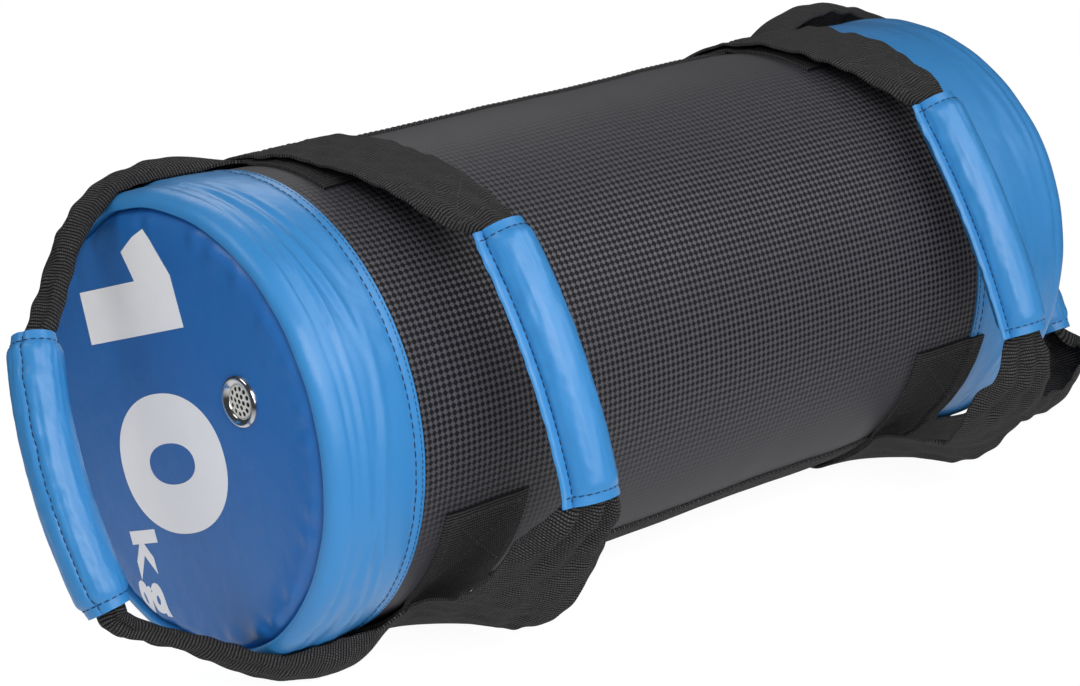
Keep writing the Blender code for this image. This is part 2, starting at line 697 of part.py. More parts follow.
def in_plane_normals(points):
    normals = []
    for i in range(len(points)):
        before = points[max(i - 1, 0)]
        after = points[min(i + 1, len(points) - 1)]
        run = (after - before).normalized()
        normals.append(Vector((-run.y, run.x)))
    return normals


def loft(name, rings, hollow, finish, parent):
    # Joins rings of points; hollow rings hold an outer loop and then an inner loop
    work = bmesh.new()
    rows = [[work.verts.new(point) for point in ring] for ring in rings]
    count = len(rows[0]) // 2 if hollow else len(rows[0])
    for row, after in zip(rows, rows[1:]):
        for i in range(count):
            j = (i + 1) % count
            work.faces.new((row[i], row[j], after[j], after[i]))
            if hollow:
                work.faces.new((row[count + j], row[count + i], after[count + i], after[count + j]))
    for row in (rows[0], rows[-1]):
        if hollow:
            for i in range(count):
                j = (i + 1) % count
                work.faces.new((row[i], row[j], row[count + j], row[count + i]))
        else:
            work.faces.new(row)
    bmesh.ops.recalc_face_normals(work, faces=work.faces)
    mesh = bpy.data.meshes.new(name)
    work.to_mesh(mesh)
    work.free()
    return add_object(name, mesh, finish, parent=parent)


def placed(centre, normal, across, over):
    return Vector((centre.x + normal.x * over, across, centre.y + normal.y * over))


def round_loop(centre, normal, width, height, fin):
    points = []
    for i in range(GRIP_FACETS):
        turn = math.radians(GRIP_START_ANGLE + FULL_TURN * i / GRIP_FACETS)
        across = math.cos(turn) * width / 2
        over = math.sin(turn) * height / 2
        if fin and math.cos(turn) < -math.cos(math.radians(GRIP_FIN_ANGLE)):
            across -= fin
        points.append(placed(centre, normal, across, over))
    return points


def slot_loop(centre, normal, width, height):
    corners = [(1, 1), (-1, 1), (-1, -1), (1, -1)]
    points = []
    for i, (side, level) in enumerate(corners):
        next_side, next_level = corners[(i + 1) % 4]
        for step in range(GRIP_FACETS // 4):
            share = step / (GRIP_FACETS // 4)
            across = (side + (next_side - side) * share) * width / 2
            over = (level + (next_level - level) * share) * height / 2
            points.append(placed(centre, normal, across, over))
    return points


def build_grip(name, grip, carrier, parent):
    lining = FOAM_DIAMETER + 2 * FIT_GAP
    slot_width = LOOP_WIDTH + 2 * FIT_GAP
    slot_height = LOOP_THICKNESS + 2 * LOOP_RISE_GAP
    taper = GRIP_END_TAPER / GRIP_LENGTH
    inner = [taper + share * (1.0 - 2 * taper) for share in GRIP_STATION_SHARES]
    shares = [0.0] + inner + [1.0]
    line = grip_line(grip, carrier, shares)
    normals = in_plane_normals(line)
    rings = []
    for share, centre, normal in zip(shares, line, normals):
        at_mouth = share in (0.0, 1.0)
        height = GRIP_END_THICKNESS if at_mouth else GRIP_DIAMETER
        ring = round_loop(centre, normal, GRIP_DIAMETER, height, GRIP_FIN)
        if at_mouth:
            wall = 2 * GRIP_COVER_WALL
            ring += round_loop(centre, normal, GRIP_DIAMETER - wall, height - wall, 0.0)
        else:
            ring += round_loop(centre, normal, lining, lining, 0.0)
        rings.append(ring)
    loft(name + "_grip_cover", rings, True, "blue_vinyl", parent)

    inset = (GRIP_END_TAPER + GRIP_FOAM_INSET) / GRIP_LENGTH
    shares = [inset + share * (1.0 - 2 * inset) for share in GRIP_STATION_SHARES]
    line = grip_line(grip, carrier, shares)
    rings = []
    for centre, normal in zip(line, in_plane_normals(line)):
        ring = round_loop(centre, normal, FOAM_DIAMETER, FOAM_DIAMETER, 0.0)
        rings.append(ring + slot_loop(centre, normal, slot_width, slot_height))
    loft(name + "_grip_foam", rings, True, "foam", parent)


def build_webbing(name, in_grip, upper, lower, low_width, low_gather, parent):
    # One strap from the upper root, through the grip, to the lower root
    stations = []
    run = curve_through(upper, LEAD_STATIONS)
    for step, point in enumerate(run[:-1]):
        stations.append((point, *gathered(step / LEAD_STATIONS, GATHER_START_SHARE, WEBBING_WIDTH)))
    for point in in_grip:
        stations.append((point, LOOP_WIDTH, LOOP_THICKNESS))
    run = curve_through(lower, LEAD_STATIONS)
    for step in range(LEAD_STATIONS - 1, -1, -1):
        stations.append((run[step], *gathered(step / LEAD_STATIONS, low_gather, low_width)))
    points = [station[0] for station in stations]
    normals = in_plane_normals(points)
    normals[0] = Vector((0.0, 1.0))
    normals[-1] = Vector((0.0, -1.0))
    rings = []
    for (centre, width, thickness), normal in zip(stations, normals):
        half, rise = width / 2, thickness / 2
        corners = ((half, rise), (-half, rise), (-half, -rise), (half, -rise))
        rings.append([placed(centre, normal, across, over) for across, over in corners])
    loft(name + "_webbing", rings, False, "black_webbing", parent)


def add_pivot(name, x, out, across, up):
    # An empty on the handle's hinge line, its z along the line and its x towards the grip
    pivot = bpy.data.objects.new(name + "_pivot", None)
    part.objects.link(pivot)
    basis = Matrix((out, across, up)).transposed().to_4x4()
    pivot.matrix_world = Matrix.Translation(AXIS_POINT + ALONG * x) @ basis
    return pivot


def build_end_handle(name, side, grip, top_shares, low_shares):
    out = ALONG * side
    pivot = add_pivot(name, side * END_HINGE_OFFSET, out, TOP.cross(out), TOP)
    root_height = BAG_RADIUS + 2 * LAYER - WEBBING_THICKNESS / 2
    in_grip = grip_line(grip, END_HINGE_INSET, LOOP_STATION_SHARES)
    upper = end_lead(root_height, in_grip[0], top_shares, 1.0)
    lower = end_lead(root_height, in_grip[-1], low_shares, -1.0)
    build_webbing(name, in_grip, upper, lower, LOW_END_ROOT_WIDTH, LOW_END_GATHER_SHARE, pivot)
    build_grip(name, grip, END_HINGE_INSET, pivot)


def build_side_handle(name, side, grip):
    pivot = add_pivot(name, side * HOOP_OFFSET, FRONT, TOP.cross(FRONT), TOP)
    root_height = BAG_RADIUS + 3 * LAYER - WEBBING_THICKNESS / 2
    in_grip = grip_line(grip, BAG_RADIUS, LOOP_STATION_SHARES)
    upper = side_top_lead(root_height, in_grip[0])
    lower = side_low_lead(root_height, in_grip[-1])
    build_webbing(name, in_grip, upper, lower, WEBBING_WIDTH, GATHER_START_SHARE, pivot)
    build_grip(name, grip, BAG_RADIUS, pivot)


build_sleeve()
build_band("near_end_band", NEAR_BORDER, NEAR_END)
build_band("far_end_band", FAR_BORDER, FAR_END)
near_panel = build_panel("near_end_panel", NEAR_END, -1.0)
build_panel("far_end_panel", FAR_END, 1.0)
near_disc = build_foam_disc("near_foam_disc", NEAR_END, -1.0)
build_foam_disc("far_foam_disc", FAR_END, 1.0)
build_filling()
build_vent(near_panel, near_disc)
build_long_strap("top_long_strap", TOP_ANGLE)
build_long_strap("bottom_long_strap", LOW_ANGLE)
build_hoop("near_hoop_strap", -HOOP_OFFSET)
build_hoop("far_hoop_strap", HOOP_OFFSET)
for place_name, place_side in (("near", -1.0), ("far", 1.0)):
    build_sewn_end(place_name + "_side_upper_tail", place_side * HOOP_OFFSET, TOP_ANGLE, SEWN_TOP_LENGTH)
    build_sewn_end(place_name + "_side_lower_tail", place_side * HOOP_OFFSET, LOW_ANGLE, SEWN_BOTTOM_LENGTH)
build_end_handle("near_end", -1.0, NEAR_END_GRIP, NEAR_TOP_LEAD_SHARES, NEAR_LOW_LEAD_SHARES)
build_end_handle("far_end", 1.0, FAR_END_GRIP, FAR_TOP_LEAD_SHARES, FAR_LOW_LEAD_SHARES)
build_side_handle("near_side", -1.0, NEAR_SIDE_GRIP)
build_side_handle("far_side", 1.0, FAR_SIDE_GRIP)
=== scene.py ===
# Sandbag trainer: a roll of sand in a black skin, with blue padded caps and four webbing handles
import json
import math

import bpy
import numpy as np
from mathutils import Matrix, Vector
from mathutils.bvhtree import BVHTree
from mathutils.kdtree import KDTree

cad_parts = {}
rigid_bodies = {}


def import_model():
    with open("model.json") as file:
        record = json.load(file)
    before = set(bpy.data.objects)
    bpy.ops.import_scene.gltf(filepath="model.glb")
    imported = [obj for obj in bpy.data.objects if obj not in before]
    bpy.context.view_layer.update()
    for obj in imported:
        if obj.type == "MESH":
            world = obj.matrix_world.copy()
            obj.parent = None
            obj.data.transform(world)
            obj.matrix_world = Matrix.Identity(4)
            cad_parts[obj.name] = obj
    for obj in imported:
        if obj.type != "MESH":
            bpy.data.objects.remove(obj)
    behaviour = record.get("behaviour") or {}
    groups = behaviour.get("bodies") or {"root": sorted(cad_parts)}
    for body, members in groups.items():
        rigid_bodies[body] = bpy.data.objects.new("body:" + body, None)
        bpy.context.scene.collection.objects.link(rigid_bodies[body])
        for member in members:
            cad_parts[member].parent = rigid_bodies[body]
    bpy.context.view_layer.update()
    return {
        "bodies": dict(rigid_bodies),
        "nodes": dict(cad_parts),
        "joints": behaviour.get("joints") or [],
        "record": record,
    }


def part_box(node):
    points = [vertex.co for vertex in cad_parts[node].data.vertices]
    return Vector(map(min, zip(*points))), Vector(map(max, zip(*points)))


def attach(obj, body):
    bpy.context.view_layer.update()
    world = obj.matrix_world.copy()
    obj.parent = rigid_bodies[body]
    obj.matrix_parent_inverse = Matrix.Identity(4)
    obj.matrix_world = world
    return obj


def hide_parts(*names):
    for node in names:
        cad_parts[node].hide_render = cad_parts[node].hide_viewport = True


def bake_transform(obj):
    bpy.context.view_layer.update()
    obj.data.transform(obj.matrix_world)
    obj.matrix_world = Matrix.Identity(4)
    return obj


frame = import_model()
mm = 0.001
weld = 0.01 * mm  # points closer than this are one

bandLow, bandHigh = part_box("near_end_band")
farBandLow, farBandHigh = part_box("far_end_band")
hoopLow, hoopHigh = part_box("near_hoop_strap")
bagRadius = (bandHigh.y - bandLow.y) / 2
axisHeight = bandHigh.z - bagRadius
nearEnd, nearBorder = bandLow.x, bandHigh.x
farBorder, farEnd = farBandLow.x, farBandHigh.x
hoopOffset = -(hoopLow.x + hoopHigh.x) / 2
hoopHalf = (hoopHigh.x - hoopLow.x) / 2

# The bag lies rolled back by this much, so that its own front looks up a little
roll = math.radians(30)
along = np.array((1.0, 0.0, 0.0))
front = np.array((0.0, -math.cos(roll), math.sin(roll)))
top = np.array((0.0, math.sin(roll), math.cos(roll)))
bagCentre = np.array((0.0, 0.0, axisHeight))


def deselectAll():
    if bpy.context.object and bpy.context.object.mode == "EDIT":
        bpy.ops.object.mode_set(mode="OBJECT")
    bpy.ops.object.select_all(action="DESELECT")


def pick(piece):
    deselectAll()
    piece.select_set(True)
    bpy.context.view_layer.objects.active = piece


def smoothStep(value, low, high):
    share = np.clip((value - low) / (high - low), 0, 1)
    return share * share * (3 - 2 * share)


def onBag(x, radius, turn):
    # turn is in radians: 0 is the bag's front and a quarter turn is its top
    x, radius, turn = np.broadcast_arrays(x, radius, turn)
    points = bagCentre + np.outer(x.ravel(), along)
    points += np.outer((radius * np.cos(turn)).ravel(), front)
    return points + np.outer((radius * np.sin(turn)).ravel(), top)


def bagPlace(points):
    # The other way round: x, radius and turn of points
    offset = points - bagCentre
    forward, upward = offset @ front, offset @ top
    return points[:, 0], np.hypot(forward, upward), np.arctan2(upward, forward)


# Soft unevenness, as a sum of waves that closes on itself round the bag

def makeWaves(seed, count, length, stretch):
    dice = np.random.default_rng(seed)
    heading = dice.uniform(0, 2 * math.pi, count)
    pitch = 2 * math.pi / (length * dice.uniform(0.7, 1.5, count))
    around = np.round(pitch * np.sin(heading) * bagRadius / stretch)
    return pitch * np.cos(heading), around, dice.uniform(0, 2 * math.pi, count)


def ripple(waves, x, turn):
    total = 0
    for alongPitch, aroundPitch, phase in zip(*waves):
        total = total + np.sin(alongPitch * x + aroundPitch * turn + phase)
    return total / math.sqrt(len(waves[0]) / 2)


# The skin

sleeve = {
    "radius": 0.1096, "wall": 1.2 * mm, "lap": 4 * mm, "alongCells": 170, "aroundCells": 300,
    "broad": makeWaves(11, 14, 0.085, 1.6), "broadHeight": 0.20 * mm,
    "fine": makeWaves(12, 16, 0.028, 2.2), "fineHeight": 0.07 * mm,
    "strapDent": 0.5 * mm, "strapDentReach": 7 * mm, "hoopRamp": 5 * mm,
    "floorGap": 0.3 * mm, "floorSoftness": 0.7 * mm,
}
cap = {
    "radius": 0.1104, "wall": 1.1 * mm, "cornerRun": 9.5 * mm, "cornerDrop": 6.4 * mm,
    "cornerTurn": math.radians(100), "tuck": 6.0 * mm, "tuckRunShare": 0.95, "tuckDropShare": 0.10,
    "hemStitch": 5.2 * mm, "hemPull": 0.35 * mm, "hemPullReach": 1.6 * mm,
    "bulge": 0.9 * mm, "bulgeCurve": 1.5, "crease": 0.45 * mm, "creaseReach": 1.5 * mm,
    "alongCells": 80, "aroundCells": 360,
    "broad": makeWaves(21, 12, 0.030, 4.0), "broadHeight": 0.22 * mm, "broadRamp": 9 * mm,
    "fine": makeWaves(24, 14, 0.011, 5.0), "fineHeight": 0.13 * mm, "fineRamp": (6 * mm, 12 * mm),
    "patches": makeWaves(25, 8, 0.06, 1.5), "patchLevels": (-0.4, 1.3),
    "pucker": makeWaves(22, 12, 0.024, 1.0), "puckerHeight": 0.13 * mm, "puckerRamp": 9 * mm,
    "puckerStretch": 0.3,
    "hemPucker": makeWaves(23, 10, 0.012, 1.0), "hemPuckerHeight": 0.08 * mm, "hemPuckerReach": 5 * mm,
    "hemPuckerStretch": 0.2, "foldRamp": (7 * mm, 14 * mm),
}
# Folds that run round the bands: turns in degrees, and in millimetres how far they lie from the border at
# their ends, how high they stand and how wide they are
nearFolds = [
    {"turns": (-40, 60), "insets": (33, 31), "height": 0.55, "width": 1.6},
    {"turns": (-5, 70), "insets": (20, 33), "height": 0.85, "width": 2.2},
    {"turns": (15, 62), "insets": (14, 25), "height": 0.55, "width": 1.7},
    {"turns": (-60, 12), "insets": (30, 16), "height": 0.70, "width": 2.4},
    {"turns": (-85, -20), "insets": (14, 27), "height": 0.60, "width": 2.0},
    {"turns": (60, 140), "insets": (32, 19), "height": 0.60, "width": 2.6},
    {"turns": (-100, -30), "insets": (17, 33), "height": 0.60, "width": 3.2},
    {"turns": (130, 230), "insets": (20, 36), "height": 0.70, "width": 3.4},
    {"turns": (210, 300), "insets": (38, 24), "height": 0.60, "width": 3.0},
]
farFolds = [
    {"turns": (-80, -10), "insets": (52, 30), "height": 0.80, "width": 3.6},
    {"turns": (-30, 60), "insets": (60, 63), "height": 0.45, "width": 3.0},
    {"turns": (-75, -25), "insets": (22, 44), "height": 0.70, "width": 3.2},
    {"turns": (100, 220), "insets": (30, 56), "height": 0.60, "width": 4.0},
    {"turns": (200, 290), "insets": (60, 34), "height": 0.60, "width": 3.4},
]
# How a fold tapers to its ends, and the furrow beside it, in shares of its height and its width
foldShape = {"taper": 0.7, "furrow": 0.7, "furrowAt": 1.5}
webbing = {
    "thick": 1.35 * mm, "half": hoopHalf, "gap": 0.15 * mm, "floorGap": 0.2 * mm,
    "crossingRamp": (0.2 * mm, 7 * mm),
}
layer = webbing["thick"] + webbing["gap"]


def floorLimit(radius, turn, lift):
    # The underside lies flat, lift above the floor
    down = -np.sin(turn + roll)
    least = 0.5  # what looks down less than this never meets the floor
    limit = np.where(down > least, (axisHeight - lift) / np.maximum(down, least), 1.0)
    soft = sleeve["floorSoftness"]
    return radius - soft * np.logaddexp(0, (radius - limit) / soft)


def underHoop(x):
    reach = np.minimum(np.abs(x - hoopOffset), np.abs(x + hoopOffset)) - hoopHalf
    return 1 - smoothStep(reach, 0, sleeve["hoopRamp"])


def sleeveRadius(x, turn):
    radius = sleeve["radius"] + sleeve["broadHeight"] * ripple(sleeve["broad"], x, turn)
    radius = radius + sleeve["fineHeight"] * ripple(sleeve["fine"], x, turn)
    edge = np.minimum(np.abs(np.abs(x - hoopOffset) - hoopHalf), np.abs(np.abs(x + hoopOffset) - hoopHalf))
    radius = radius - sleeve["strapDent"] * np.exp(-(edge / sleeve["strapDentReach"]) ** 2)
    return floorLimit(radius, turn, sleeve["floorGap"] + layer * underHoop(x))


def foldHeight(folds, inset, turn):
    total = np.zeros(np.broadcast(inset, turn).shape)
    for fold in folds:
        first, last = (math.radians(angle) for angle in fold["turns"])
        share = ((turn - first) % (2 * math.pi)) / (last - first)
        inside = np.where(share < 1, np.sin(np.pi * np.clip(share, 0, 1)) ** foldShape["taper"], 0)
        start, end = (value * mm for value in fold["insets"])
        offset = (inset - start - (end - start) * np.clip(share, 0, 1)) / (fold["width"] * mm)
        furrow = foldShape["furrow"] * np.exp(-(offset - foldShape["furrowAt"]) ** 2)
        total += fold["height"] * mm * inside * (np.exp(-offset ** 2) - furrow)
    return total


def bandRadius(side, x, turn):
    border, end, folds = (nearBorder, nearEnd, nearFolds) if side < 0 else (farBorder, farEnd, farFolds)
    inset = np.clip((x - border) * side, 0, abs(end - border))
    run = abs(end - border) - cap["cornerRun"]
    radius = cap["radius"] + cap["bulge"] * np.sin(np.pi * np.clip(inset / run, 0, 1)) ** cap["bulgeCurve"]
    radius = radius - cap["hemPull"] * np.exp(-((inset - cap["hemStitch"]) / cap["hemPullReach"]) ** 2)
    radius = radius - cap["crease"] * np.exp(-((inset - run + cap["creaseReach"]) / cap["creaseReach"]) ** 2)
    broad = cap["broadHeight"] * ripple(cap["broad"], x, turn)
    radius = radius + broad * smoothStep(inset, 0, cap["broadRamp"])
    patchy = smoothStep(ripple(cap["patches"], x, turn), *cap["patchLevels"])
    patchy = patchy * smoothStep(inset, *cap["fineRamp"])
    radius = radius + cap["fineHeight"] * ripple(cap["fine"], x, turn) * patchy
    hemShare = np.exp(-((inset - cap["hemStitch"]) / cap["hemPuckerReach"]) ** 2)
    hemPucker = ripple(cap["hemPucker"], x * cap["hemPuckerStretch"], turn)
    radius = radius + cap["hemPuckerHeight"] * hemPucker * hemShare
    seamShare = smoothStep(inset, run - cap["puckerRamp"], run)
    pucker = ripple(cap["pucker"], x * cap["puckerStretch"], turn)
    radius = radius + cap["puckerHeight"] * pucker * seamShare
    radius = radius + foldHeight(folds, inset, turn) * smoothStep(inset, *cap["foldRamp"])
    return floorLimit(radius, turn, sleeve["floorGap"] + layer * underHoop(x))


def skinRadius(x, turn):
    # The outside of whatever skin is there, with the step up to a cap's hem spread a little
    radius = sleeveRadius(x, turn)
    ramp = 2.5 * mm
    nearShare = 1 - smoothStep(x, nearBorder, nearBorder + ramp)
    farShare = smoothStep(x, farBorder - ramp, farBorder)
    radius = radius + nearShare * (bandRadius(-1, x, turn) - radius)
    return radius + farShare * (bandRadius(1, x, turn) - radius)


def crossing(turn):
    # 1 where a hoop passes over a strap that runs along the bag
    across = np.abs((turn % math.pi) - math.pi / 2) * bagRadius
    return 1 - smoothStep(across - hoopHalf, *webbing["crossingRamp"])


hoop = {"firstTurn": 46.0, "lastTurn": 316.0, "cells": (330, 26)}


def hoopBed(x, turn):
    radius = skinRadius(x, turn) + webbing["gap"] + layer * crossing(turn)
    return floorLimit(radius, turn, webbing["thick"] + webbing["floorGap"])


# Pieces of cloth

padding = {
    "frames": 12, "quality": 5, "mass": 0.15, "tension": 15.0, "bending": 6.0, "calm": 12, "calmShare": 0.6,
}


def puffUp(piece, held, pressure, most):
    # Air pressure in a short cloth simulation, held by weights from 0 to 1. No point moves further than most.
    rest = np.array([vertex.co for vertex in piece.data.vertices])
    group = piece.vertex_groups.new(name="held")
    for index, weight in enumerate(held(rest)):
        group.add([index], float(weight), "REPLACE")
    pick(piece)
    cloth = piece.modifiers.new("cloth", "CLOTH")
    settings = cloth.settings
    settings.quality = padding["quality"]
    settings.mass = padding["mass"]
    settings.tension_stiffness = settings.compression_stiffness = padding["tension"]
    settings.bending_stiffness = padding["bending"]
    settings.use_pressure = True
    settings.uniform_pressure_force = pressure
    settings.vertex_group_mass = group.name
    settings.effector_weights.gravity = 0
    scene = bpy.context.scene
    cloth.point_cache.frame_start, cloth.point_cache.frame_end = 1, padding["frames"]
    for frame in range(1, padding["frames"] + 1):
        scene.frame_set(frame)
    blown = piece.evaluated_get(bpy.context.evaluated_depsgraph_get())
    moved = np.array([vertex.co for vertex in blown.data.vertices]) - rest
    length = np.linalg.norm(moved, axis=1)[:, None]
    moved *= np.minimum(1, most / np.maximum(length, 1e-9))
    pairs = np.array([edge.vertices[:] for edge in piece.data.edges])
    both = np.concatenate((pairs[:, 0], pairs[:, 1])), np.concatenate((pairs[:, 1], pairs[:, 0]))
    around = np.bincount(both[0], minlength=len(rest))[:, None]
    for _ in range(padding["calm"]):  # evens out creases that are finer than padded vinyl makes
        sums = np.column_stack([np.bincount(both[0], moved[both[1], i], len(rest)) for i in range(3)])
        moved = (1 - padding["calmShare"]) * moved + padding["calmShare"] * sums / around
    piece.modifiers.remove(cloth)
    piece.vertex_groups.remove(group)
    scene.frame_set(1)
    piece.data.vertices.foreach_set("co", (rest + moved).ravel())
    piece.data.update()


def thicken(piece, thick, offset):
    wall = piece.modifiers.new("wall", "SOLIDIFY")
    wall.thickness = thick
    wall.offset = offset
    bpy.ops.object.modifier_apply(modifier=wall.name)


def cutOut(piece, cutter):
    pick(piece)
    opening = piece.modifiers.new("opening", "BOOLEAN")
    opening.operation = "DIFFERENCE"
    opening.object = cutter
    bpy.ops.object.modifier_apply(modifier=opening.name)


def cutCloth(name, cells, place, size, outOf=None, closed=False, thick=0.0, offset=-1.0, puff=None):
    # A flat cut of cloth that place(s, t) lays, with s along it and t across it, both from 0 to 1
    deselectAll()
    bpy.ops.mesh.primitive_grid_add(x_subdivisions=cells[0], y_subdivisions=cells[1], size=1, calc_uvs=True)
    piece = bpy.context.object
    piece.name = name
    mesh = piece.data
    mesh.name = name
    flat = np.empty(len(mesh.vertices) * 3)
    mesh.vertices.foreach_get("co", flat)
    flat = flat.reshape(-1, 3) + 0.5
    laid = place(flat[:, 0], flat[:, 1])
    mesh.vertices.foreach_set("co", laid.ravel())
    spots = np.empty(len(mesh.loops) * 2)
    mesh.uv_layers[0].data.foreach_get("uv", spots)
    mesh.uv_layers[0].data.foreach_set("uv", (spots.reshape(-1, 2) * size).ravel())
    mesh.uv_layers[0].name = "cloth"
    mesh.update()
    middles = np.array([face.center for face in mesh.polygons])
    facing = np.array([face.normal for face in mesh.polygons])
    inner = np.column_stack((middles[:, 0], np.zeros(len(middles)), np.full(len(middles), axisHeight)))
    if outOf is not None:
        inner = outOf(middles)
    pick(piece)
    bpy.ops.object.mode_set(mode="EDIT")
    bpy.ops.mesh.select_all(action="SELECT")
    if closed:
        bpy.ops.mesh.remove_doubles(threshold=weld)
    if np.einsum("ij,ij->i", facing, middles - inner).sum() < 0:
        bpy.ops.mesh.flip_normals()
    bpy.ops.object.mode_set(mode="OBJECT")
    if puff:
        puffUp(piece, *puff)
    if thick:
        thicken(piece, thick, offset)
    return piece


def smoothShade(piece, degrees=42):
    pick(piece)
    bpy.ops.object.shade_smooth_by_angle(angle=math.radians(degrees))


def finishPiece(piece, body, material, nodes=()):
    piece.data.materials.clear()
    piece.data.materials.append(material)
    smoothShade(piece)
    if nodes:
        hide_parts(*nodes)
    if body:
        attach(piece, body)
    return piece


# Finishes

def nodeIn(tree, kind, inputs=None, **settings):
    made = tree.nodes.new(kind)
    for key, value in settings.items():
        setattr(made, key, value)
    for key, value in (inputs or {}).items():
        if isinstance(value, bpy.types.NodeSocket):
            tree.links.new(value, made.inputs[key])
        else:
            made.inputs[key].default_value = value
    return made


def calculate(tree, operation, first, second=0.0):
    return nodeIn(tree, "ShaderNodeMath", {0: first, 1: second}, operation=operation).outputs[0]


def mixColours(tree, share, first, second):
    made = nodeIn(tree, "ShaderNodeMix", {0: share, 6: first, 7: second}, data_type="RGBA")
    return made.outputs[2]


def newGroup(name, inputs, outputs):
    group = bpy.data.node_groups.new(name, "ShaderNodeTree")
    for socketName, kind, value in inputs:
        socket = group.interface.new_socket(socketName, in_out="INPUT", socket_type=kind)
        if value is not None:
            socket.default_value = value
    for socketName, kind in outputs:
        group.interface.new_socket(socketName, in_out="OUTPUT", socket_type=kind)
    return group, group.nodes.new("NodeGroupInput"), group.nodes.new("NodeGroupOutput")


def grainGroup():
    # Fine skin grain and slow blotches, both from 0 to 1; their sizes are metres
    group, given, result = newGroup(
        "fineGrain", [("grainSize", "NodeSocketFloat", 0.0006), ("blotchSize", "NodeSocketFloat", 0.03)],
        [("Grain", "NodeSocketFloat"), ("Blotch", "NodeSocketFloat")])
    place = nodeIn(group, "ShaderNodeTexCoord").outputs["Object"]
    for size, output, detail in (("grainSize", "Grain", 3.0), ("blotchSize", "Blotch", 2.0)):
        scale = calculate(group, "DIVIDE", 1.0, given.outputs[size])
        cloud = nodeIn(group, "ShaderNodeTexNoise", {"Vector": place, "Scale": scale, "Detail": detail})
        group.links.new(cloud.outputs["Fac"], result.inputs[output])
    return group


def lozengeGroup():
    # Raised lozenges that stand corner to corner
    group, given, result = newGroup(
        "lozengeEmboss", [("Cloth", "NodeSocketVector", None), ("Pitch", "NodeSocketFloat", 0.0032)],
        [("Height", "NodeSocketFloat")])
    split = nodeIn(group, "ShaderNodeSeparateXYZ", {0: given.outputs["Cloth"]})
    wave = calculate(group, "DIVIDE", 2 * math.pi, given.outputs["Pitch"])
    first = calculate(group, "COSINE", calculate(group, "MULTIPLY", split.outputs[0], wave))
    second = calculate(group, "COSINE", calculate(group, "MULTIPLY", split.outputs[1], wave))
    both = calculate(group, "ADD", first, second)
    shaped = nodeIn(group, "ShaderNodeMapRange",
                    {"Value": both, "From Min": -0.75, "From Max": 0.55}, interpolation_type="SMOOTHSTEP")
    group.links.new(shaped.outputs[0], result.inputs["Height"])
    return group


def weaveGroup():
    # Ribs across a strap, each a row of yarn knuckles that are staggered from rib to rib
    group, given, result = newGroup(
        "ribbedWeave",
        [("Cloth", "NodeSocketVector", None), ("Rib", "NodeSocketFloat", 0.0016),
         ("Yarn", "NodeSocketFloat", 0.0012)],
        [("Height", "NodeSocketFloat"), ("GrooveShade", "NodeSocketFloat")])
    cloud = nodeIn(group, "ShaderNodeTexNoise",
                   {"Vector": given.outputs["Cloth"], "Scale": 150.0, "Detail": 2.0})
    wobble = calculate(group, "MULTIPLY", calculate(group, "SUBTRACT", cloud.outputs["Fac"], 0.5), 0.0012)
    split = nodeIn(group, "ShaderNodeSeparateXYZ", {0: given.outputs["Cloth"]})
    lengthPlace = calculate(group, "ADD", split.outputs[0], wobble)
    ribPitch = calculate(group, "DIVIDE", math.pi, given.outputs["Rib"])
    ribWave = calculate(group, "SINE", calculate(group, "MULTIPLY", lengthPlace, ribPitch))
    rib = calculate(group, "ABSOLUTE", ribWave)
    yarnPitch = calculate(group, "DIVIDE", math.pi, given.outputs["Yarn"])
    ribSide = calculate(group, "SIGN", ribWave)
    stagger = calculate(group, "MULTIPLY", ribSide, math.pi / 4)
    yarnPlace = calculate(group, "ADD", calculate(group, "MULTIPLY", split.outputs[1], yarnPitch), stagger)
    yarn = calculate(group, "ABSOLUTE", calculate(group, "SINE", yarnPlace))
    ridge = nodeIn(group, "ShaderNodeMapRange", {"Value": rib, "From Min": 0.30, "From Max": 0.90},
                   interpolation_type="SMOOTHSTEP").outputs[0]
    knuckle = calculate(group, "ADD", calculate(group, "MULTIPLY", yarn, 0.7), 0.3)
    height = calculate(group, "MULTIPLY", ridge, knuckle)
    group.links.new(height, result.inputs["Height"])
    # The groove output is 1 in the hollows between the ribs, where the webbing gets its painted shade
    group.links.new(calculate(group, "SUBTRACT", 1.0, height), result.inputs["GrooveShade"])
    return group


fineGrain = grainGroup()
lozengeEmboss = lozengeGroup()
ribbedWeave = weaveGroup()


def newMaterial(name, colour, roughness, metallic=0.0, specular=0.5):
    made = bpy.data.materials.new(name)
    made.use_nodes = True
    tree = made.node_tree
    shader = tree.nodes["Principled BSDF"]
    shader.inputs["Base Color"].default_value = (*colour, 1)
    shader.inputs["Roughness"].default_value = roughness
    shader.inputs["Metallic"].default_value = metallic
    shader.inputs["Specular IOR Level"].default_value = specular
    return made, tree, shader


def placeGroup(tree, group, **inputs):
    made = nodeIn(tree, "ShaderNodeGroup", node_tree=group)
    for key, value in inputs.items():
        if isinstance(value, bpy.types.NodeSocket):
            tree.links.new(value, made.inputs[key])
        else:
            made.inputs[key].default_value = value
    return made


def roughen(tree, shader, mask, low, high):
    spread = nodeIn(tree, "ShaderNodeMapRange", {"Value": mask, "To Min": low, "To Max": high})
    tree.links.new(spread.outputs[0], shader.inputs["Roughness"])


def bump(tree, shader, heights):
    # heights are (height socket, depth in metres); each bump rides on the one before
    normal = None
    for height, depth in heights:
        inputs = {"Height": height, "Distance": depth, "Strength": 1.0}
        if normal:
            inputs["Normal"] = normal
        normal = nodeIn(tree, "ShaderNodeBump", inputs).outputs[0]
    tree.links.new(normal, shader.inputs["Normal"])


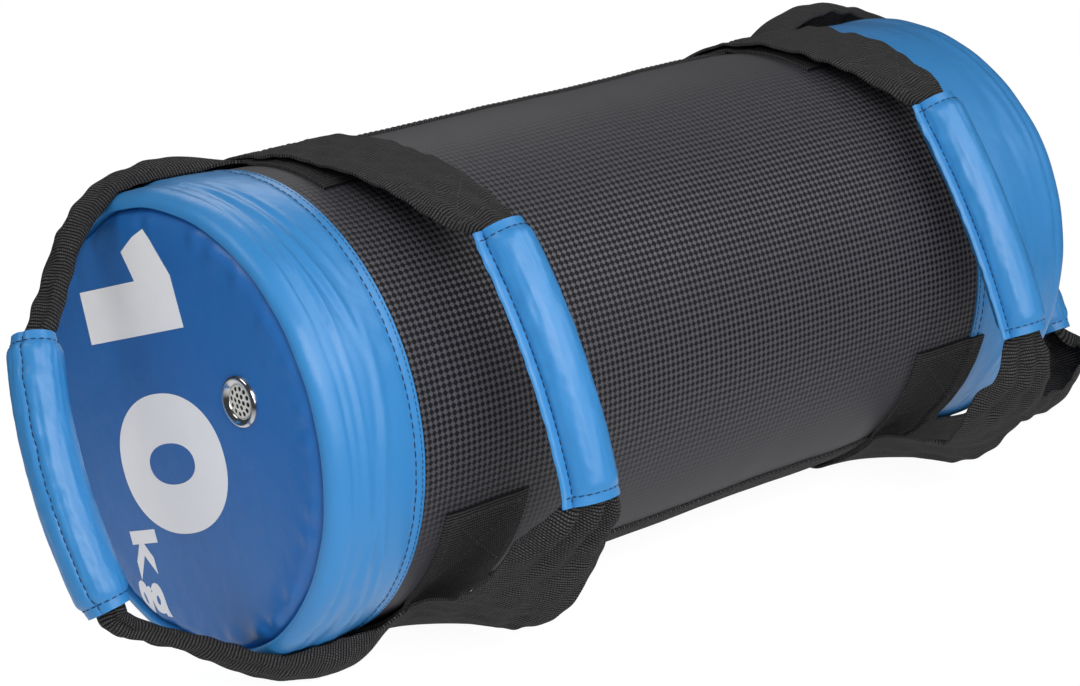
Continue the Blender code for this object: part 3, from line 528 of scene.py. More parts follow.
def blueVinylFinish(name, dark, light):
    made, tree, shader = newMaterial(name, dark, 0.34)
    grain = placeGroup(tree, fineGrain, grainSize=0.0007, blotchSize=0.035)
    pressed = placeGroup(tree, fineGrain, grainSize=0.0050, blotchSize=0.012)
    colour = mixColours(tree, grain.outputs["Blotch"], (*dark, 1), (*light, 1))
    tree.links.new(colour, shader.inputs["Base Color"])
    roughen(tree, shader, pressed.outputs["Blotch"], 0.27, 0.40)
    bump(tree, shader, [(pressed.outputs["Blotch"], 0.00045), (grain.outputs["Grain"], 0.00007)])
    return made


# The lozenges' colour is painted light: painted shade in the hollows and a painted highlight on the raised
# lozenges
embossed = {
    "pitch": 0.0032, "plain": 0.54, "frontTurn": math.radians(3), "crispFrom": 0.50, "crispAt": 0.98,
    "leastCrisp": 0.06, "hollow": (0.003, 0.003, 0.006, 1), "raised": (0.078, 0.075, 0.088, 1),
    "hollowRough": 0.80, "raisedRough": 0.42, "depth": 0.00090, "grainDepth": 0.00006,
}


def blackVinylFinish():
    made, tree, shader = newMaterial("blackVinyl", (0.018, 0.018, 0.020), 0.50, specular=0.4)
    cloth = nodeIn(tree, "ShaderNodeUVMap", uv_map="cloth").outputs[0]
    check = placeGroup(tree, lozengeEmboss, Cloth=cloth, Pitch=embossed["pitch"])
    # Crisp at the front and back, and flatter along the top and the underside: this fade is painted light,
    # evening out the lozenges' painted shade and highlight, and their bump, where light falls evenly, with
    # plain as the tone they settle to
    up = nodeIn(tree, "ShaderNodeSeparateXYZ", {0: cloth}).outputs[1]
    turn = calculate(tree, "ADD", calculate(tree, "DIVIDE", up, bagRadius), embossed["frontTurn"])
    facing = calculate(tree, "ABSOLUTE", calculate(tree, "COSINE", turn))
    crisp = nodeIn(tree, "ShaderNodeMapRange",
                   {"Value": facing, "From Min": embossed["crispFrom"], "From Max": embossed["crispAt"],
                    "To Min": embossed["leastCrisp"]},
                   interpolation_type="SMOOTHSTEP").outputs[0]
    lift = calculate(tree, "SUBTRACT", check.outputs["Height"], embossed["plain"])
    height = calculate(tree, "ADD", calculate(tree, "MULTIPLY", lift, crisp), embossed["plain"])
    grain = placeGroup(tree, fineGrain, grainSize=0.0005, blotchSize=0.04)
    # Painted shade in the hollows and a painted highlight on the raised lozenges
    colour = mixColours(tree, height, embossed["hollow"], embossed["raised"])
    tree.links.new(colour, shader.inputs["Base Color"])
    roughen(tree, shader, height, embossed["hollowRough"], embossed["raisedRough"])
    bump(tree, shader, [(height, embossed["depth"]), (grain.outputs["Grain"], embossed["grainDepth"])])
    return made


# The webbing's light yarn colour is partly wear and partly a painted highlight on the ribs, and its
# near-black groove colour is painted shade between the ribs
woven = {
    "rib": 0.0016, "yarn": 0.0012, "dark": (0.018, 0.017, 0.019, 1), "wornAndHighlit": (0.160, 0.155, 0.156, 1),
    "groove": (0.002, 0.002, 0.002, 1), "smooth": 0.72, "rough": 0.92, "blotchDepth": 0.0012,
    "ribDepth": 0.00090,
}


def webbingFinish():
    made, tree, shader = newMaterial("blackWebbing", (0.020, 0.020, 0.021), 0.85, specular=0.3)
    cloth = nodeIn(tree, "ShaderNodeUVMap", uv_map="cloth").outputs[0]
    weave = placeGroup(tree, ribbedWeave, Cloth=cloth, Rib=woven["rib"], Yarn=woven["yarn"])
    grain = placeGroup(tree, fineGrain, grainSize=0.0012, blotchSize=0.008)
    # Painted highlight and shade: yarns go light where worn and lit, and near black in the grooves between
    # the ribs
    wornAndHighlit = mixColours(tree, grain.outputs["Grain"], woven["dark"], woven["wornAndHighlit"])
    colour = mixColours(tree, weave.outputs["GrooveShade"], wornAndHighlit, woven["groove"])
    tree.links.new(colour, shader.inputs["Base Color"])
    roughen(tree, shader, grain.outputs["Grain"], woven["smooth"], woven["rough"])
    bump(tree, shader, [(grain.outputs["Blotch"], woven["blotchDepth"]),
                        (weave.outputs["Height"], woven["ribDepth"])])
    return made


def threadFinish(name, dark, light):
    made, tree, shader = newMaterial(name, dark, 0.6)
    grain = placeGroup(tree, fineGrain, grainSize=0.0003, blotchSize=0.004)
    colour = mixColours(tree, grain.outputs["Blotch"], (*dark, 1), (*light, 1))
    tree.links.new(colour, shader.inputs["Base Color"])
    bump(tree, shader, [(grain.outputs["Grain"], 0.00008)])
    return made


def printFinish():
    made, tree, shader = newMaterial("paleInk", (0.90, 0.91, 0.93), 0.42)
    grain = placeGroup(tree, fineGrain, grainSize=0.0007, blotchSize=0.02)
    colour = mixColours(tree, grain.outputs["Blotch"], (0.88, 0.88, 0.90, 1), (0.94, 0.94, 0.96, 1))
    tree.links.new(colour, shader.inputs["Base Color"])
    bump(tree, shader, [(grain.outputs["Grain"], 0.00005)])
    return made


def chromeFinish(name, colour, metallic, low, high):
    made, tree, shader = newMaterial(name, colour, low, metallic=metallic)
    grain = placeGroup(tree, fineGrain, grainSize=0.0004, blotchSize=0.005)
    roughen(tree, shader, grain.outputs["Blotch"], low, high)
    bump(tree, shader, [(grain.outputs["Grain"], 0.00001)])
    return made


def plainFinish(name, dark, light, roughness, grainSize, depth):
    made, tree, shader = newMaterial(name, dark, roughness)
    grain = placeGroup(tree, fineGrain, grainSize=grainSize, blotchSize=grainSize * 12)
    colour = mixColours(tree, grain.outputs["Grain"], (*dark, 1), (*light, 1))
    tree.links.new(colour, shader.inputs["Base Color"])
    bump(tree, shader, [(grain.outputs["Grain"], depth)])
    return made


blueVinyl = blueVinylFinish("blueVinyl", (0.034, 0.222, 0.530), (0.041, 0.250, 0.585))
# Painted shade: the end panels take a darker copy of the blue vinyl
shadedBlueVinyl = blueVinylFinish("shadedBlueVinyl", (0.014, 0.128, 0.415), (0.019, 0.152, 0.465))
blackVinyl = blackVinylFinish()
blackWebbing = webbingFinish()
navyThread = threadFinish("navyThread", (0.004, 0.014, 0.060), (0.008, 0.030, 0.110))
blackThread = threadFinish("blackThread", (0.018, 0.018, 0.018), (0.050, 0.050, 0.052))
paleInk = printFinish()
chrome = chromeFinish("chrome", (0.72, 0.72, 0.73), 1.0, 0.10, 0.22)
satinChrome = chromeFinish("satinChrome", (0.90, 0.87, 0.80), 0.3, 0.35, 0.50)
insideFoam = plainFinish("insideFoam", (0.50, 0.50, 0.46), (0.68, 0.68, 0.64), 0.9, 0.0012, 0.0003)
sackCloth = plainFinish("sackCloth", (0.44, 0.41, 0.35), (0.60, 0.57, 0.50), 0.85, 0.0009, 0.0002)
tieCord = plainFinish("tieCord", (0.46, 0.44, 0.38), (0.64, 0.62, 0.56), 0.8, 0.0007, 0.0003)
drySand = plainFinish("drySand", (0.38, 0.29, 0.18), (0.60, 0.50, 0.35), 0.95, 0.0008, 0.0003)
print("finishes made")


# The skin's pieces

def makeSleeve():
    low, high = nearBorder - sleeve["lap"], farBorder + sleeve["lap"]

    def place(s, t):
        x, turn = low + (high - low) * s, 2 * math.pi * t
        return onBag(x, sleeveRadius(x, turn), turn)

    size = (high - low, 2 * math.pi * bagRadius)
    cells = (sleeve["alongCells"], sleeve["aroundCells"])
    piece = cutCloth("bodySleeve", cells, place, size, closed=True, thick=sleeve["wall"])
    return finishPiece(piece, "bag", blackVinyl, ["body_sleeve"])


def bandPlace(side):
    border, end = (nearBorder, nearEnd) if side < 0 else (farBorder, farEnd)
    run = abs(end - border) - cap["cornerRun"]
    bend = cap["cornerTurn"] * (cap["cornerRun"] + cap["cornerDrop"]) / 2
    total = run + bend + cap["tuck"]

    def place(s, t):
        turn = 2 * math.pi * t
        gone = total * s
        flatX = border + side * np.minimum(gone, run)
        radius = bandRadius(side, flatX, turn)
        angle = cap["cornerTurn"] * np.clip((gone - run) / bend, 0, 1)
        tucked = np.clip(gone - run - bend, 0, None)
        x = flatX + side * (cap["cornerRun"] * np.sin(angle) - tucked * cap["tuckRunShare"])
        radius = radius - cap["cornerDrop"] * (1 - np.cos(angle)) - tucked * cap["tuckDropShare"]
        return onBag(x, radius, turn)

    return place, total


def makeBand(name, side, node):
    place, total = bandPlace(side)
    size = (total, 2 * math.pi * bagRadius)
    cells = (cap["alongCells"], cap["aroundCells"])
    piece = cutCloth(name, cells, place, size, closed=True, thick=cap["wall"])
    return finishPiece(piece, "bag", blueVinyl, [node])


panel = {
    "radius": 0.1031, "lap": 0.5 * mm, "rimReach": -6.2 * mm, "shoulder": 0.0925, "crown": 2.2 * mm,
    "edge": 0.9 * mm, "pucker": makeWaves(31, 18, 0.015, 1.0), "puckerHeight": 0.42 * mm,
    "puckerPlace": 0.0965, "puckerReach": 6.0 * mm, "puckerStretch": 0.5, "rimCurve": 3.0,
    "dents": makeWaves(32, 10, 0.075, 1.0), "dentHeight": 0.07 * mm, "dentShare": 0.6, "dentShift": 0.4,
    "wall": 1.1 * mm, "ringCells": 64, "aroundCells": 360, "grownReach": 20 * mm,
    "poleShare": 0.004, "poleReachShare": 0.006,
    "foamGap": 1.5 * mm, "foamThick": 8.0 * mm, "foamCells": (32, 160),
    "pressure": 2.0, "mostPuff": 0.7 * mm, "heldRim": (2 * mm, 5 * mm), "heldShare": 0.9,
    "heldRadius": 0.060, "freeRim": 10 * mm,
}


def panelRim(side, turn):
    # The panel ends inside the seam that the band's corner makes
    end = nearEnd if side < 0 else farEnd
    x = np.full(np.shape(turn), end - side * cap["cornerRun"])
    drop = cap["cornerDrop"] * (1 - math.cos(cap["cornerTurn"]))
    return bandRadius(side, x, turn) - drop + panel["lap"]


def panelReach(radius, turn):
    # How far a panel's outside lies beyond the cap's end
    reach = panel["edge"] + panel["crown"] * (1 - np.minimum(radius / panel["shoulder"], 1) ** 2)
    past = np.clip((radius - panel["shoulder"]) / (panel["radius"] - panel["shoulder"]), 0, 1)
    reach = reach + (panel["rimReach"] - panel["edge"]) * past ** panel["rimCurve"]
    rim = np.exp(-((radius - panel["puckerPlace"]) / panel["puckerReach"]) ** 2)
    pucker = ripple(panel["pucker"], radius * panel["puckerStretch"], turn)
    reach = reach + panel["puckerHeight"] * rim * pucker
    forward, upward = radius * np.cos(turn), radius * np.sin(turn)
    slow = ripple(panel["dents"], forward, 0) + ripple(panel["dents"], upward + panel["dentShift"], 0)
    return reach + panel["dentHeight"] * slow * panel["dentShare"] * (1 - past)


def panelHeld(points):
    # Held in the rim's seam, and in the middle, where the foam's face carries it
    radius = bagPlace(points)[1]
    first, last = panel["heldRim"]
    rim = smoothStep(radius, panel["puckerPlace"] + first, panel["puckerPlace"] + last)
    middle = 1 - smoothStep(radius, panel["heldRadius"], panel["puckerPlace"] - panel["freeRim"])
    return np.maximum(rim, panel["heldShare"] * middle)


def makeRound(name, side, depth, thick, cells):
    # A round piece of the end's shape, depth inside the panel's outside
    end = nearEnd if side < 0 else farEnd

    def place(s, t):
        turn = 2 * math.pi * t
        flat = panel["radius"] * (panel["poleShare"] + (1 - panel["poleShare"]) * s)
        grown = smoothStep(flat, panel["shoulder"] - panel["grownReach"], panel["radius"])
        radius = (flat + (panelRim(side, turn) - panel["radius"]) * grown) * (1 - depth / panel["radius"])
        return onBag(end + side * (panelReach(flat, turn) - depth), radius, turn)

    def within(middles):
        return middles - np.array((side * panel["radius"], 0, 0))

    size = (panel["radius"], 2 * math.pi * panel["radius"])
    piece = cutCloth(name, cells, place, size, within, closed=True)
    pick(piece)
    bpy.ops.object.mode_set(mode="EDIT")
    bpy.ops.mesh.select_all(action="DESELECT")
    bpy.ops.object.mode_set(mode="OBJECT")
    pole = panel["radius"] * panel["poleReachShare"]
    for vertex in piece.data.vertices:
        vertex.select = math.hypot(vertex.co.y, vertex.co.z - axisHeight) < pole
    bpy.ops.object.mode_set(mode="EDIT")
    bpy.ops.mesh.merge(type="CENTER")  # closes the pole
    bpy.ops.object.mode_set(mode="OBJECT")
    if not depth:
        puffUp(piece, panelHeld, panel["pressure"], panel["mostPuff"])
    thicken(piece, thick, -1)
    return piece


def makePanel(name, side, node):
    piece = makeRound(name, side, 0.0, panel["wall"], (panel["ringCells"], panel["aroundCells"]))
    # The panel's darker blue is painted shade on the end
    return finishPiece(piece, "bag", shadedBlueVinyl, [node])


def makeFoamDisc(name, side, node):
    piece = makeRound(name, side, panel["foamGap"], panel["foamThick"], panel["foamCells"])
    return finishPiece(piece, "bag", insideFoam, [node])


makeSleeve()
makeBand("nearBand", -1, "near_end_band")
makeBand("farBand", 1, "far_end_band")
nearPanel = makePanel("nearPanel", -1, "near_end_panel")
makePanel("farPanel", 1, "far_end_panel")
nearFoam = makeFoamDisc("nearFoamDisc", -1, "near_foam_disc")
makeFoamDisc("farFoamDisc", 1, "far_foam_disc")
print("skin made")


# Straps that are sewn flat on the skin

def makeHoop(name, middle, node):
    first, last = math.radians(hoop["firstTurn"]), math.radians(hoop["lastTurn"])

    def place(s, t):
        x = middle + hoopHalf * (2 * t - 1)
        turn = first + (last - first) * s
        return onBag(x, hoopBed(x, turn), turn)

    size = ((last - first) * bagRadius, 2 * hoopHalf)
    piece = cutCloth(name, hoop["cells"], place, size, thick=webbing["thick"], offset=1.0)
    finishPiece(piece, "bag", blackWebbing, [node])
    return place


longStrap = {"endInset": 8 * mm, "cells": (220, 26)}


def makeLongStrap(name, turnAt, node):
    reach = hoopOffset + hoopHalf - longStrap["endInset"]
    middle = math.radians(turnAt)
    half = webbing["half"] / (bagRadius + layer)

    def place(s, t):
        x = reach * (2 * s - 1)
        turn = middle + half * (2 * t - 1)
        return onBag(x, skinRadius(x, turn) + webbing["gap"], turn)

    size = (2 * reach, 2 * webbing["half"])
    piece = cutCloth(name, longStrap["cells"], place, size, thick=webbing["thick"], offset=1.0)
    finishPiece(piece, "bag", blackWebbing, [node])
    return place


nearHoopPlace = makeHoop("nearHoop", -hoopOffset, "near_hoop_strap")
farHoopPlace = makeHoop("farHoop", hoopOffset, "far_hoop_strap")
topStrapPlace = makeLongStrap("topStrap", 90, "top_long_strap")
bottomStrapPlace = makeLongStrap("bottomStrap", 270, "bottom_long_strap")
print("flat straps made")


# Handles: each is one strap from its upper root, through a padded grip, to its lower root.
# A row of a lead has its ridge's place out and up from the bag's axis, then the strap's half width there,
# how far its edges fall inwards, how far round they curl, the slope across it and a pleat's depth.
# Places and sizes are millimetres; the curl is radians. The blend and the heart, a point inside the loop,
# are metres on the way out, and a grip's lean and seamTurn are degrees.

def polar(turn, height):
    radius = bagRadius / mm + height
    return radius * math.cos(math.radians(turn)), radius * math.sin(math.radians(turn))


nearEndHandle = {
    "body": "near_end_handle", "base": 0.0, "out": -along, "across": front, "heart": 0.25,
    "blend": (0.187, 0.226),
    "upper": [(170, 111.2, 24.5, 2.8, .24, 0, 0), (182, 112.0, 24.5, 3.2, .4, 0, 0),
              (190, 116.2, 24, 7, .8, 0, 0), (200, 120.3, 22.5, 11, 1.15, 0, 0),
              (211, 122.3, 19.5, 12.5, 1.4, 0, 0), (232, 121.8, 15, 10.6, 1.6, 0, 0),
              (246, 118.4, 12, 8.4, 1.8, 0, 0), (259, 111.9, 10, 9.0, 2.1, 0, 0),
              (273, 101.6, 8.8, 9.5, 2.3, 0, .2), (284, 88.8, 8.2, 9, 2.4, 0, .4),
              (294, 76.0, 8, 9, 2.4, 0, .4), (302, 66.5, 8, 9, 2.4, 0, .3)],
    "lower": [(318, -72, 8, 8, 2.4, 0, .4), (313.5, -76.5, 7.5, 7, 2.3, 0, .4),
              (304, -81.4, 7, 6, 2.2, 0, .2), (295.5, -86.4, 7, 5.5, 2.1, 0, 0),
              (285.5, -91.6, 7, 5.5, 2.0, 0, 0), (270, -102.6, 8.5, 6, 1.9, 0, 0),
              (252, -113.8, 11.5, 5.8, 1.5, 0, 0), (240, -119.2, 14, 9.0, 1.5, 0, 0),
              (226, -123.8, 17, 13, 1.5, 0, 0), (210, -125.0, 19.5, 13, 1.3, 0, 0),
              (198, -122.6, 22, 10, 1.0, 0, 0), (188, -116.5, 23.5, 5.5, .6, 0, 0),
              (180, -112.4, 24.5, 3.2, .4, 0, 0), (170, -111.2, 24.5, 2.8, .24, 0, 0)],
    "grip": {"out": 309.3, "up": -3.3, "lean": 4.5, "bow": 7.4, "aside": 0, "endHalves": (10.4, 11.2),
             "seamTurn": 60},
}
farEndHandle = {
    "body": "far_end_handle", "base": 0.0, "out": along, "across": -front, "heart": 0.25,
    "blend": (0.187, 0.226),
    "upper": [(170, 111.2, 24.5, 2.8, .24, 0, 0), (181, 112.6, 24.5, 3.4, .4, 0, 0),
              (189, 118.0, 24, 7, .7, 0, 0), (199, 122.6, 23.5, 9, .9, 0, 0),
              (210, 125.0, 23, 9.5, 1.0, 0, 0), (223, 126.2, 22, 10, 1.1, 0, 0),
              (240, 123.6, 20.5, 10, 1.2, 0, 0), (258, 118.2, 16, 10, 1.6, 0, 0),
              (273, 112.0, 13.5, 10, 1.9, 0, 0), (287, 102.5, 11, 9.5, 2.2, 0, .2),
              (299, 88.5, 9, 9, 2.3, 0, .3), (308, 70.0, 8.2, 9, 2.4, 0, .4),
              (313, 53.0, 8, 9, 2.4, 0, .4)],
    "lower": [(337.5, -93, 12, 11, 1.9, 0, .8), (338.5, -101, 14.5, 10, 1.5, 0, .6),
              (336.5, -108, 16.5, 9, 1.3, 0, .3), (329, -112.2, 18, 8, 1.1, 0, 0),
              (318, -117.2, 19, 8, 1.0, 0, 0), (308, -123, 20, 8, 1.0, 0, 0),
              (297, -126.0, 20.5, 8, .9, 0, 0), (280, -127, 21, 8.5, .9, 0, 0),
              (260, -127, 22, 9, .9, 0, 0), (240, -126.5, 22, 10, .9, 0, 0),
              (222, -124.5, 22.5, 10, .9, 0, 0), (204, -120, 23, 8, .8, 0, 0),
              (191, -115, 24, 4.6, .5, 0, 0), (181, -112.2, 24.5, 3.2, .4, 0, 0),
              (170, -111.2, 24.5, 2.8, .24, 0, 0)],
    "grip": {"out": 318.0, "up": -24.5, "lean": 7.0, "bow": 4.5, "aside": 0, "endHalves": (10.8, 11.5),
             "seamTurn": 120},
}
nearSideHandle = {
    "body": "near_side_handle", "base": -hoopOffset, "out": front, "across": along, "heart": 0.06,
    "blend": (0.006, 0.060),
    "upper": [(*polar(103, 2.8), 25, 0, .1, 0, 0), (*polar(92, 4.0), 25, 0, .1, 0, 0),
              (*polar(78, 3.6), 25, 0, .1, 0, 0), (*polar(66, 3.4), 25, 0, .15, 0, 0),
              (*polar(56, 4.6), 25, .3, .2, 0, 0), (*polar(48, 7.6), 24.5, .8, .3, -.03, 0),
              (*polar(40, 12.4), 24, 1.4, .4, -.05, 0), (*polar(32, 18.4), 23, 2.2, .6, -.05, .3),
              (*polar(25, 25.0), 21, 3.2, .8, -.03, .8), (*polar(19, 32.0), 18, 4.4, 1.0, 0, 1.2)],
    "lower": [(141.0, -97.0, 17.5, 4, 1.0, 0, 2.6), (133, -101, 21.5, 3.0, .7, .05, 3.4),
              (121, -105.0, 24, 2.0, .4, .12, 3.0), (105, -110.5, 25, 1.2, .3, .22, 1.4),
              (88, -117.5, 25, .8, .3, .33, .2), (71, -122.8, 25, .5, .25, .43, 0),
              (53, -123.6, 25, .3, .2, .50, 0), (35, -121.4, 25, 0, .2, .52, 0),
              (15, -118.8, 25, 0, .15, .38, 0), (-2, -117.0, 25, 0, .1, .22, 0),
              (*polar(-99, 4.0), 25, 0, .1, 0, 0), (*polar(-103, 3.4), 25, 0, .1, 0, 0)],
    "grip": {"out": 143.5, "up": -30.0, "lean": -1.5, "bow": 7.0, "aside": 5.0, "endHalves": (11.6, 13.6)},
    "sewn": (150, 187),
}
farSideHandle = {
    "body": "far_side_handle", "base": hoopOffset, "out": front, "across": along, "heart": 0.06,
    "blend": (0.006, 0.060),
    "upper": [(*polar(103, 2.8), 25, 0, .1, 0, 0), (*polar(92, 4.0), 25, 0, .1, 0, 0),
              (*polar(78, 3.8), 25, 0, .1, 0, 0), (*polar(64, 4.4), 25, 0, .15, 0, 0),
              (*polar(54, 6.2), 25, .3, .2, 0, 0), (*polar(46, 9.0), 24.5, .8, .3, 0, 0),
              (*polar(38, 12.8), 23, 1.6, .5, 0, .3), (*polar(30, 18.0), 20, 3.0, .8, 0, .7),
              (*polar(23.5, 23.0), 17, 4.0, 1.0, 0, 1.0)],
    "lower": [(130.5, -92, 15, 4, 1.0, 0, 1.6), (127.5, -99, 18, 3.0, .8, 0, 2.0),
              (121, -107.5, 21, 2.5, .6, .04, 2.0), (110, -112.5, 24, 2.0, .4, .14, 1.2),
              (97, -119.0, 25, 1.2, .3, .12, .4), (81, -125.0, 25, .8, .3, .08, 0),
              (64, -126.4, 25, .5, .25, .28, 0), (46, -124.2, 25, .3, .2, .48, 0),
              (30, -120.8, 25, 0, .2, .50, 0), (12, -118.4, 25, 0, .15, .36, 0),
              (-3, -117.0, 25, 0, .1, .2, 0), (*polar(-99, 4.0), 25, 0, .1, 0, 0),
              (*polar(-103, 3.4), 25, 0, .1, 0, 0)],
    "grip": {"out": 129.0, "up": -22.5, "lean": 1.5, "bow": 5.0, "aside": -2.0, "endHalves": (11.6, 12.4)},
    "sewn": (135, 170),
}
# Lengths here are millimetres, apart from the waves' and those written with mm, and turns are radians
grip = {
    "length": 125, "half": 12.5, "endHeight": 9.6, "endTaper": 9, "fin": 5.0, "finHalf": 1.25, "groove": 1.0,
    "wall": 1.1 * mm, "cells": (110, 84), "pinch": 0.6, "pinchAt": 4.2, "pinchReach": 1.2,
    "finShare": 0.12, "finRound": 3.5, "finSink": 0.4, "finWave": 0.14, "finWaveShare": 0.4,
    "grooveTurn": 0.085, "tuckTurn": 0.5,
    "heldFin": (0.10, 0.90), "heldSeam": (1.5, 4.5), "heldMouth": (0.5, 5),
    "tuckWaves": makeWaves(41, 10, 0.0085, 1.0), "tuckHeight": 0.28,
    "softWaves": makeWaves(42, 8, 0.030, 1.0), "softHeight": 0.10,
    "crossWaves": makeWaves(43, 6, 0.0075, 1.0), "crossHeight": 0.05, "pressure": 2.5, "mostPuff": 1.0 * mm,
    "strapHalf": 7.5, "strapDepth": 8.0, "strapCurl": 2.4,
    "strapShares": (0.02, 0.1, 0.25, 0.5, 0.75, 0.9, 0.98),
    "foamRadius": 10.6, "foamShares": (0.16, 0.84), "foamCells": (24, 40), "foamThick": 1.3 * mm,
}
# How a handle's strap lies: in millimetres, with hoopTurn in degrees, leastCurl in radians and
# crumpleLength in metres
lay = {
    "step": 0.8, "cell": 1.7, "acrossCells": 34, "softness": 0.4, "floorClear": 0.85,
    "hoopRamp": (0.5, 5), "hoopTurn": 45, "hoopStart": 4,
    "endRamp": (5, 2), "endDrop": 12, "endFree": 3,
    "freeRamp": (25, 60), "asideStart": (20, 95), "asideEnd": (130, 20),
    "leastCurl": 0.05, "pleatWaves": 3,
    "crumple": 0.45, "crumpleWaves": 14, "crumpleLength": 0.018, "crumpleStretch": 0.3,
}


def gripLine(handle, share):
    # Middle of the grip as (out, up) in millimetres, and its outward normal
    shape = handle["grip"]
    lean = math.radians(shape["lean"])
    down = np.array((math.sin(lean), -math.cos(lean)))
    bulge = np.array((math.cos(lean), math.sin(lean)))
    share = np.atleast_1d(share)
    gone = (share - 0.5) * grip["length"]
    bow = shape["bow"] * (1 - (2 * share - 1) ** 2)
    middle = np.array((shape["out"], shape["up"])) + np.outer(gone, down) + np.outer(bow, bulge)
    run = np.outer(np.full(len(share), grip["length"]), down)
    run = run - np.outer(shape["bow"] * 4 * (2 * share - 1), bulge)
    run /= np.linalg.norm(run, axis=1)[:, None]
    return middle, np.column_stack((-run[:, 1], run[:, 0]))


def smoothRows(rows, step):
    # An even run through rows of numbers, with the first two as the place that measures its length
    rows = np.array(rows, float)
    gone = np.concatenate(([0], np.cumsum(np.linalg.norm(np.diff(rows[:, :2], axis=0), axis=1))))
    slopes = np.gradient(rows, gone, axis=0)
    at = np.arange(0, gone[-1], step)
    span = np.clip(np.searchsorted(gone, at, side="right") - 1, 0, len(rows) - 2)
    width = gone[span + 1] - gone[span]
    u = ((at - gone[span]) / width)[:, None]
    width = width[:, None]
    first, last = rows[span], rows[span + 1]
    made = (1 + 2 * u) * (1 - u) ** 2 * first + u * (1 - u) ** 2 * width * slopes[span]
    return made + u * u * (3 - 2 * u) * last + u * u * (u - 1) * width * slopes[span + 1]


def strapRows(handle):
    shares = np.array(grip["strapShares"])
    middle, normal = gripLine(handle, shares)
    depth = grip["strapDepth"]
    inside = [(*(middle[i] + normal[i] * depth / 2), grip["strapHalf"], depth, grip["strapCurl"], 0, 0)
              for i in range(len(shares))]
    return smoothRows(handle["upper"] + inside + handle["lower"], lay["step"])


def clearOfBag(handle, points):
    # Pushes a strap out of the skin, and off the hoop that it is sewn on
    x, radius, turn = bagPlace(points)
    least = skinRadius(x, turn) + webbing["thick"] / 2 + webbing["gap"]
    if handle["base"]:
        first, last = lay["hoopRamp"]
        onHoop = 1 - smoothStep(np.abs(x - handle["base"]) - hoopHalf, first * mm, last * mm)
        ahead = np.abs(turn) * bagRadius - math.radians(lay["hoopTurn"]) * bagRadius
        onHoop = onHoop * smoothStep(ahead, -lay["hoopStart"] * mm, 0)
        over = hoopBed(x, turn) + webbing["thick"] * 1.5 + webbing["gap"]
        least = least + onHoop * np.maximum(over - least, 0)
    before, after = lay["endRamp"]
    beyond = smoothStep(np.abs(x), farEnd - before * mm, farEnd + after * mm)
    least = least - beyond * lay["endDrop"] * mm
    least = np.where(np.abs(x) > farEnd + lay["endFree"] * mm, 0, least)
    soft = lay["softness"] * mm
    wanted = radius + soft * np.logaddexp(0, (least - radius) / soft)
    moved = onBag(x, wanted, turn)
    low = lay["floorClear"] * mm
    height = moved[:, 2]
    raised = low + soft * np.logaddexp(0, (height - low) / soft)
    moved[:, 2] = np.where(height < low + 4 * soft, raised, height)
    return moved


def strapPlace(handle, seed):
    rows = strapRows(handle)
    run = np.gradient(rows[:, :2], axis=0)
    run /= np.linalg.norm(run, axis=1)[:, None]
    normals = np.column_stack((-run[:, 1], run[:, 0]))
    gone = np.concatenate(([0], np.cumsum(np.linalg.norm(np.diff(rows[:, :2], axis=0), axis=1))))
    total = gone[-1]
    base = bagCentre + along * handle["base"]
    crumple = makeWaves(seed, lay["crumpleWaves"], lay["crumpleLength"], 1.0)
    first, last = lay["freeRamp"]
    free = smoothStep(gone, first, last) * (1 - smoothStep(gone, total - last, total - first))
    first, last = lay["asideEnd"]
    asides = handle["grip"]["aside"] * smoothStep(gone, *lay["asideStart"])
    asides = asides * (1 - smoothStep(gone, total - first, total - last))

    def place(s, t):
        at = s * total
        columns = [np.interp(at, gone, rows[:, i]) for i in range(7)]
        outAt, upAt, half, depth, curl, slope, pleat = columns
        normalOut = np.interp(at, gone, normals[:, 0])
        normalUp = np.interp(at, gone, normals[:, 1])
        side = 2 * t - 1
        curl = np.maximum(curl, lay["leastCurl"])
        angle = side * curl
        across = half * np.sin(angle) / np.sin(np.minimum(curl, math.pi / 2))
        over = -depth * (1 - np.cos(angle)) / (1 - np.cos(curl)) + slope * across
        over = over + pleat * np.cos(lay["pleatWaves"] * math.pi * side)
        loose = np.interp(at, gone, free)
        over = over + lay["crumple"] * loose * ripple(crumple, at * mm, side * lay["crumpleStretch"])
        points = base + np.outer((outAt + normalOut * over) * mm, handle["out"])
        points = points + np.outer((upAt + normalUp * over) * mm, top)
        points = points + np.outer((across + np.interp(at, gone, asides)) * mm, handle["across"])
        return clearOfBag(handle, points)

    return place, total * mm


def blendStrap(piece):
    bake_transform(piece)


def makeStrap(name, handle, seed, nodes):
    place, total = strapPlace(handle, seed)
    heart = bagCentre + along * handle["base"] + handle["out"] * handle["heart"]

    def within(middles):
        return np.broadcast_to(heart, middles.shape)

    cells = (int(total / (lay["cell"] * mm)), lay["acrossCells"])
    size = (total, 2 * webbing["half"])
    piece = cutCloth(name, cells, place, size, within, thick=webbing["thick"], offset=0.0)
    finishPiece(piece, None, blackWebbing, nodes)
    blendStrap(piece)
    return place, total


